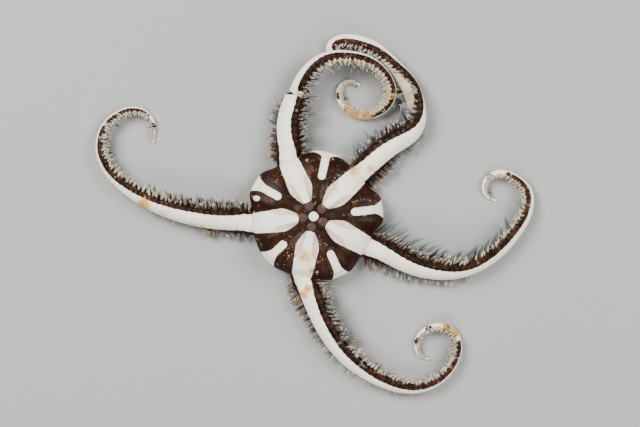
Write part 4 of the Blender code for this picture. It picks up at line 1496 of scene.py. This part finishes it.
def one_spine(path, row, along, side, draw, crowd, sizes):
    """A spine of a row, shortened where it would meet the floor or another arm."""
    ahead, outward, roll = path.frame(along)[1:4]
    roll = math.degrees(roll)
    thick = min(FULL_THICKNESS * float(path.radius(along)) / path.arm.radius, 1.0)
    length = row.length * draw.triangular(*LENGTH_SPREAD) * blend(THIN_LENGTH, 1.0, thick)
    length *= sizes.spine_length
    width = row.width * draw.uniform(*WIDTH_SPREAD) * blend(THIN_WIDTH, 1.0, thick)
    width *= sizes.spine_width
    style = STYLES[path.arm.name]
    glassy = row.kind == GLASSY
    stray = GLASSY_STRAY if glassy else STUB_STRAY
    lean = style.lean * draw.uniform(*LEAN_SPREAD) + draw.uniform(-stray, stray)
    angle = row.angle + draw.uniform(-ANGLE_STRAY, ANGLE_STRAY)
    tint = draw.random()
    pale = float(smoothstep(*PALE_START, along))
    grey = min(draw.uniform(*GREY_SPREAD) * style.grey, GREYEST) * pale
    if side < 0:
        angle -= style.shift * blend(1.0, FRINGE_SHIFT, float(smoothstep(*FRINGE_START, along)))
        length *= style.glassy if glassy else 1.0
    rooted = spine_root(path, along, side, angle, width)
    if rooted is None:
        return None
    root, normal, turn = rooted
    if turn > EDGE_TURN and along > style.end and row.length > NUB_ROW.length:
        return None
    if side > 0 and turn > 0:
        fade = float(1.0 - smoothstep(*OUTER_FADE, along))
        if row.angle != MAIN_OUTER_ROW and draw.random() > blend(OUTER_THIN, 1.0, fade):
            return None
        length *= blend(OUTER_LEAST, style.outer, fade)
        width *= blend(OUTER_WIDTH, 1.0, fade)
        lean *= OUTER_LEAN
        grey = float(smoothstep(*OUTER_GREY_START, along)) * draw.uniform(*OUTER_GREY)
    bare = float(smoothstep(*BARE_ROLL, roll))
    if side < 0 and row.angle > BARE_ANGLE and draw.random() < bare * style.bare:
        return None
    if draw.random() < MATTED * float(stain_amount(root[None, :])[0]):
        return None
    least = LEAST_LEVEL * float(1.0 - smoothstep(*STEEP_ROLL, roll))
    way = math.copysign(1.0, turn) if abs(turn) > EDGE_TURN else side
    level = outward * way * max(abs(math.sin(turn)), least)
    level = level + ahead * lean * (1.0 if glassy else STUB_LEAN)
    rise = RISE * max(float(normal[2]), LOWEST_RISE) * (STEEP_RISE if least < HALF_LEVEL else 1.0)
    direction = Vector((*level, rise + draw.uniform(*RISE_SPREAD))).normalized()
    arc = np.array((*ahead, BEND_RISE)) * (length * draw.uniform(*BEND_SPREAD))
    shrink = 1.0
    while length * shrink > SHORTEST_SPINE:
        tip = root + np.array(direction) * length * shrink + arc * shrink
        if tip[2] > LOWEST_TIP and crowd.is_clear(tip, path.index, along):
            break
        shrink *= SHRINK_STEP
        direction = (direction + Vector((0.0, 0.0, LIFT_STEP))).normalized()
    sink = ROOT_SINK * thick
    spot = ((path.index + 0.5 + PATCH_SPREAD * turn / math.pi) / len(ARMS),
            blend(*PATCH_ROWS, along / path.length))
    return Thing(root - np.array(direction) * sink, tuple(direction), width,
                 length * shrink + sink, arc * shrink, spot, row.kind, pale, grey, tint)


def rows_at(path, along, side, fringe):
    """The rows of spines on one side of an arm, with the chance of a spine in each."""
    style = STYLES[path.arm.name]
    rows = FRINGE_ROWS if fringe else (OUTER_ROWS if side > 0 else INNER_ROWS)
    if fringe:
        rare = float(smoothstep(*BLADE_END, along))
        rows = [row._replace(chance=blend(style.blades, row.chance * BLADE_LEAST, rare))
                if row.kind == GLASSY else row for row in rows]
    if side > 0 and along > style.end:
        roll = math.degrees(path.frame(along)[3])
        rows = (*rows, NUB_ROW._replace(angle=NUB_ROW.angle - roll))
    return rows


def arm_spines(path, sizes, crowd):
    """Every spine of one arm, segment by segment."""
    draw = random.Random(f"spines {path.arm.name}")
    things = []
    places = path.places()
    for i, along in enumerate(places):
        pitch = places[min(i + 1, len(places) - 1)] - places[i - 1] if i else 2 * along
        fringe = draw.random() < float(smoothstep(*FRINGE_START, along))
        for side in (-1, 1):
            for row in rows_at(path, along, side, fringe):
                stray = GLASSY_ROW_STRAY if row.kind == GLASSY else ROW_STRAY
                for number in range(row.count):
                    shift = (number + 0.5) / row.count - 0.5 + draw.uniform(-stray, stray)
                    place = along + shift * pitch / 2
                    left_out = draw.random() > row.chance
                    if left_out or not FIRST_SPINE < place < path.length - LAST_SPINE:
                        continue
                    things.append(one_spine(path, row, place, side, draw, crowd, sizes))
    return [thing for thing in things if thing is not None]


# Clinging grains

def surface_tree(pieces):
    """A search tree over the faces of all the given pieces."""
    points, faces, start = [], [], 0
    for piece in pieces:
        points += [vertex.co for vertex in piece.data.vertices]
        faces += [[i + start for i in face.vertices] for face in piece.data.polygons]
        start = len(points)
    return BVHTree.FromPolygons(points, faces)


def any_way(draw):
    return tuple(draw.uniform(-1.0, 1.0) for _ in range(3))


def crumb(root, facing, width, length, grey, tint):
    spot = (0.5 + root[0] / GRAIN_MAP, 0.5 + root[1] / GRAIN_MAP)
    return Thing(root, facing, width, length, (0, 0, 0), spot, 0.0, 0.0, grey, tint)


def cling_grains(pieces):
    """Crumbs lying on the skin and spines, heaped up in places."""
    draw = random.Random("grains")
    tree = surface_tree(pieces)
    things = []
    for x, y, spread, count, share, heap in GRAIN_PATCHES:
        for _ in range(count):
            place = (x + draw.gauss(0.0, spread * 0.5), y + draw.gauss(0.0, spread * 0.5))
            size = draw.triangular(*GRAIN_SIZES, GRAIN_SIZES[0]) * share
            lift = draw.uniform(0.0, heap)
            width = size * draw.uniform(*GRAIN_WIDTH)
            facing = any_way(draw)
            tint = draw.uniform(min(heap, HEAP_TINT), 1.0)
            above = Vector(metres((*place, GRAIN_DROP)))
            hit, normal = tree.ray_cast(above, Vector((0.0, 0.0, -1.0)))[:2]
            if hit is None:
                continue
            root = np.array(hit) / MM - (*DISC_CENTRE, 0.0)
            root += np.array(normal) * size * GRAIN_RISE + (0.0, 0.0, lift)
            root[2] = max(root[2], size * LOWEST_GRAIN)
            things.append(crumb(root, facing, width, size, 0.0, tint))
    for x, y, height, radius, count in CLUMPS:
        for _ in range(count):
            way = Vector([draw.gauss(0.0, 1.0) for _ in range(3)]).normalized()
            root = np.array((x, y, height)) + np.array(way) * radius * draw.random() ** 0.5
            size = draw.triangular(*CLUMP_GRAIN)
            facing = any_way(draw)
            things.append(crumb(root, facing, size * CLUMP_WIDTH, size, 1.0, draw.random()))
    return things


# Settings

class StarLooks(bpy.types.PropertyGroup):
    """Colours of the animal."""

    def colour(name, description, value):
        return bpy.props.FloatVectorProperty(name=name, description=description, default=value,
                                             subtype="COLOR", min=0.0, max=1.0, size=3)

    ivory: colour("Ivory", "Pale stripes of the disc and arms", (0.88, 0.85, 0.78))
    # Facet: the colour of the painted shade on the sloping sides of the disc's stripes
    facet: colour("Facet", "Sloping sides of the stripes on the disc", (0.60, 0.50, 0.40))
    brown: colour("Brown", "Chocolate skin between the stripes", (0.024, 0.0102, 0.0074))
    russet: colour("Russet", "Lighter swellings of the brown skin", (0.08, 0.031, 0.019))
    olive: colour("Olive", "Sunken skin between the rays", (0.036, 0.0185, 0.0115))
    plum: colour("Plum", "Five round plates about the middle", (0.088, 0.06, 0.054))
    cream: colour("Cream", "Under side and the tips of short spines", (0.62, 0.56, 0.44))
    ochre: colour("Ochre", "Stains and clinging grains", (0.68, 0.39, 0.14))
    gold: colour("Gold", "Fine specks on the brown skin", (0.42, 0.27, 0.11))
    spine_root: colour("Spine root", "Brown root of a spine", (0.05, 0.03, 0.023))
    spine_body: colour("Spine body", "Grey-brown middle of a short spine", (0.09, 0.064, 0.052))
    stub_tip: colour("Stub tip", "Greyish end of a short spine near the disc", (0.36, 0.33, 0.28))
    spine_glass: colour("Spine glass", "Blue-grey body of a long spine", (0.11, 0.128, 0.138))
    spine_tip: colour("Spine tip", "Whitish end of a long spine", (0.48, 0.5, 0.495))


class StarSizes(bpy.types.PropertyGroup):
    """Sizes of the fine forms."""

    spine_length: bpy.props.FloatProperty(
        name="Spine length", description="Length of every spine, as a share of life",
        default=1.0, min=0.5, max=1.5, subtype="FACTOR")
    spine_width: bpy.props.FloatProperty(
        name="Spine width", description="Width of every spine, as a share of life",
        default=1.0, min=0.5, max=1.5, subtype="FACTOR")
    spine_sides: bpy.props.IntProperty(
        name="Spine sides", description="Faces round each spine", default=6, min=3, max=12)


class StarStage(bpy.types.PropertyGroup):
    """Camera, floor and light."""

    lens: bpy.props.FloatProperty(
        name="Lens", description="Focal length of the camera", default=120.0, min=20.0,
        unit="CAMERA")
    view_width: bpy.props.FloatProperty(
        name="View width", description="Width of floor that the camera sees", default=0.08,
        unit="LENGTH", subtype="DISTANCE")
    floor: bpy.props.FloatVectorProperty(
        name="Floor", description="Colour of the floor", default=(0.36, 0.37, 0.38),
        subtype="COLOR", min=0.0, max=1.0, size=3)
    key_light: bpy.props.FloatProperty(
        name="Key light", description="Power of the main light", default=1.0, min=0.0,
        unit="POWER")


def all_nodes():
    return sorted(frame["nodes"])


def finish_piece(piece):
    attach(piece, BODY)


class STAR_OT_skin(bpy.types.Operator):
    """Make the skin of the disc and arms in place of the solids"""

    bl_idname = "star.skin"
    bl_label = "Skin"

    def execute(self, context):
        skin = skin_object()
        skin.data.materials.append(skin_material(context.scene.star_looks))
        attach(skin, BODY)
        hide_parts(*all_nodes())
        return {"FINISHED"}


class STAR_OT_spines(bpy.types.Operator):
    """Make the rows of spines along each arm"""

    bl_idname = "star.spines"
    bl_label = "Spines"

    def execute(self, context):
        sizes = context.scene.star_sizes
        material = spine_material(context.scene.star_looks)
        tree = spine_tree()
        crowd = Crowd()
        for path in PATHS:
            things = arm_spines(path, sizes, crowd)
            for kind, name, tip, taper, cap in SPINE_SHAPES:
                chosen = [thing for thing in things if thing.kind == kind]
                piece = scatter(path.arm.name.replace("arm", name), chosen, tree,
                                {"Sides": sizes.spine_sides, "Tip Width": tip, "Taper": taper,
                                 "Rounding": cap, "Material": material})
                finish_piece(piece)
        return {"FINISHED"}


class STAR_OT_grains(bpy.types.Operator):
    """Scatter sand and shell crumbs over the animal"""

    bl_idname = "star.grains"
    bl_label = "Grains"

    def execute(self, context):
        material = grain_material(context.scene.star_looks)
        kinds = ("skin",) + tuple(name for _, name, *_ in SPINE_SHAPES)
        pieces = [item for item in bpy.data.objects if item.name.startswith(kinds)]
        things = cling_grains(pieces)
        finish_piece(scatter("grains", things, grain_tree(), {"Material": material}))
        return {"FINISHED"}


class STAR_OT_stage(bpy.types.Operator):
    """Make the floor, the lights and the camera"""

    bl_idname = "star.stage"
    bl_label = "Stage"

    def execute(self, context):
        stage = context.scene.star_stage
        lay_floor(stage)
        hang_lights(stage)
        set_camera(stage)
        context.scene.view_settings.look = "AgX - Medium High Contrast"
        return {"FINISHED"}


def lay_floor(stage):
    """A plain wide floor, just under the animal."""
    mesh = bpy.data.meshes.new("floor")
    corners = ((-1, -1), (1, -1), (1, 1), (-1, 1))
    mesh.from_pydata([(FLOOR_REACH * x, FLOOR_REACH * y, 0) for x, y in corners], [],
                     [(0, 1, 2, 3)])
    floor = new_object("floor", mesh)
    floor.location.z = -FLOOR_DEPTH
    material, surface = new_material("pale_floor")
    surface["Base Color"].default_value = (*stage.floor, 1.0)
    surface["Roughness"].default_value = FLOOR_ROUGHNESS
    mesh.materials.append(material)


def hang_lights(stage):
    """Broad soft lights on both sides, a weaker one in front and a dim sky."""
    for name, place, size, share in LAMPS:
        data = bpy.data.lights.new(name, "AREA")
        data.shape = "DISK"
        data.size = size
        data.energy = stage.key_light * share
        data.color = LAMP_COLOUR
        light = new_object(name, data)
        light.location = place
        light.rotation_euler = (-Vector(place)).to_track_quat("-Z", "Y").to_euler()
    world = bpy.data.worlds.new("studio")
    world.use_nodes = True
    back = world.node_tree.nodes["Background"]
    back.inputs["Color"].default_value = SKY_COLOUR
    back.inputs["Strength"].default_value = SKY_STRENGTH
    bpy.context.scene.world = world


def set_camera(stage):
    """A long lens straight above, with the top of the picture towards +Y."""
    data = bpy.data.cameras.new("camera")
    data.sensor_width = SENSOR_WIDTH
    data.lens = stage.lens
    data.clip_start = CLIP_START
    camera = new_object("camera", data)
    x, y, z = metres((*VIEW_CENTRE, VIEW_HEIGHT))
    camera.location = (x, y, z + stage.view_width * stage.lens / SENSOR_WIDTH)
    bpy.context.scene.camera = camera


class STAR_PT_panel(bpy.types.Panel):
    """Lists the settings and the pieces"""

    bl_idname = "STAR_PT_panel"
    bl_label = "Brittle Star"
    bl_space_type = "VIEW_3D"
    bl_region_type = "UI"
    bl_category = "Brittle Star"

    def draw(self, context):
        for group in (context.scene.star_looks, context.scene.star_sizes,
                      context.scene.star_stage):
            for name in group.bl_rna.properties.keys():
                if name not in ("rna_type", "name"):
                    self.layout.prop(group, name)
        for operator in OPERATORS:
            self.layout.operator(operator.bl_idname)


OPERATORS = (STAR_OT_skin, STAR_OT_spines, STAR_OT_grains, STAR_OT_stage)
CLASSES = (StarLooks, StarSizes, StarStage, *OPERATORS, STAR_PT_panel)


def register():
    for item in CLASSES:
        bpy.utils.register_class(item)
    bpy.types.Scene.star_looks = bpy.props.PointerProperty(type=StarLooks)
    bpy.types.Scene.star_sizes = bpy.props.PointerProperty(type=StarSizes)
    bpy.types.Scene.star_stage = bpy.props.PointerProperty(type=StarStage)


def unregister():
    del bpy.types.Scene.star_looks
    del bpy.types.Scene.star_sizes
    del bpy.types.Scene.star_stage
    for item in reversed(CLASSES):
        bpy.utils.unregister_class(item)


def main():
    register()
    bpy.ops.star.skin()
    bpy.ops.star.spines()
    bpy.ops.star.grains()
    bpy.ops.star.stage()


if __name__ == "__main__":
    main()
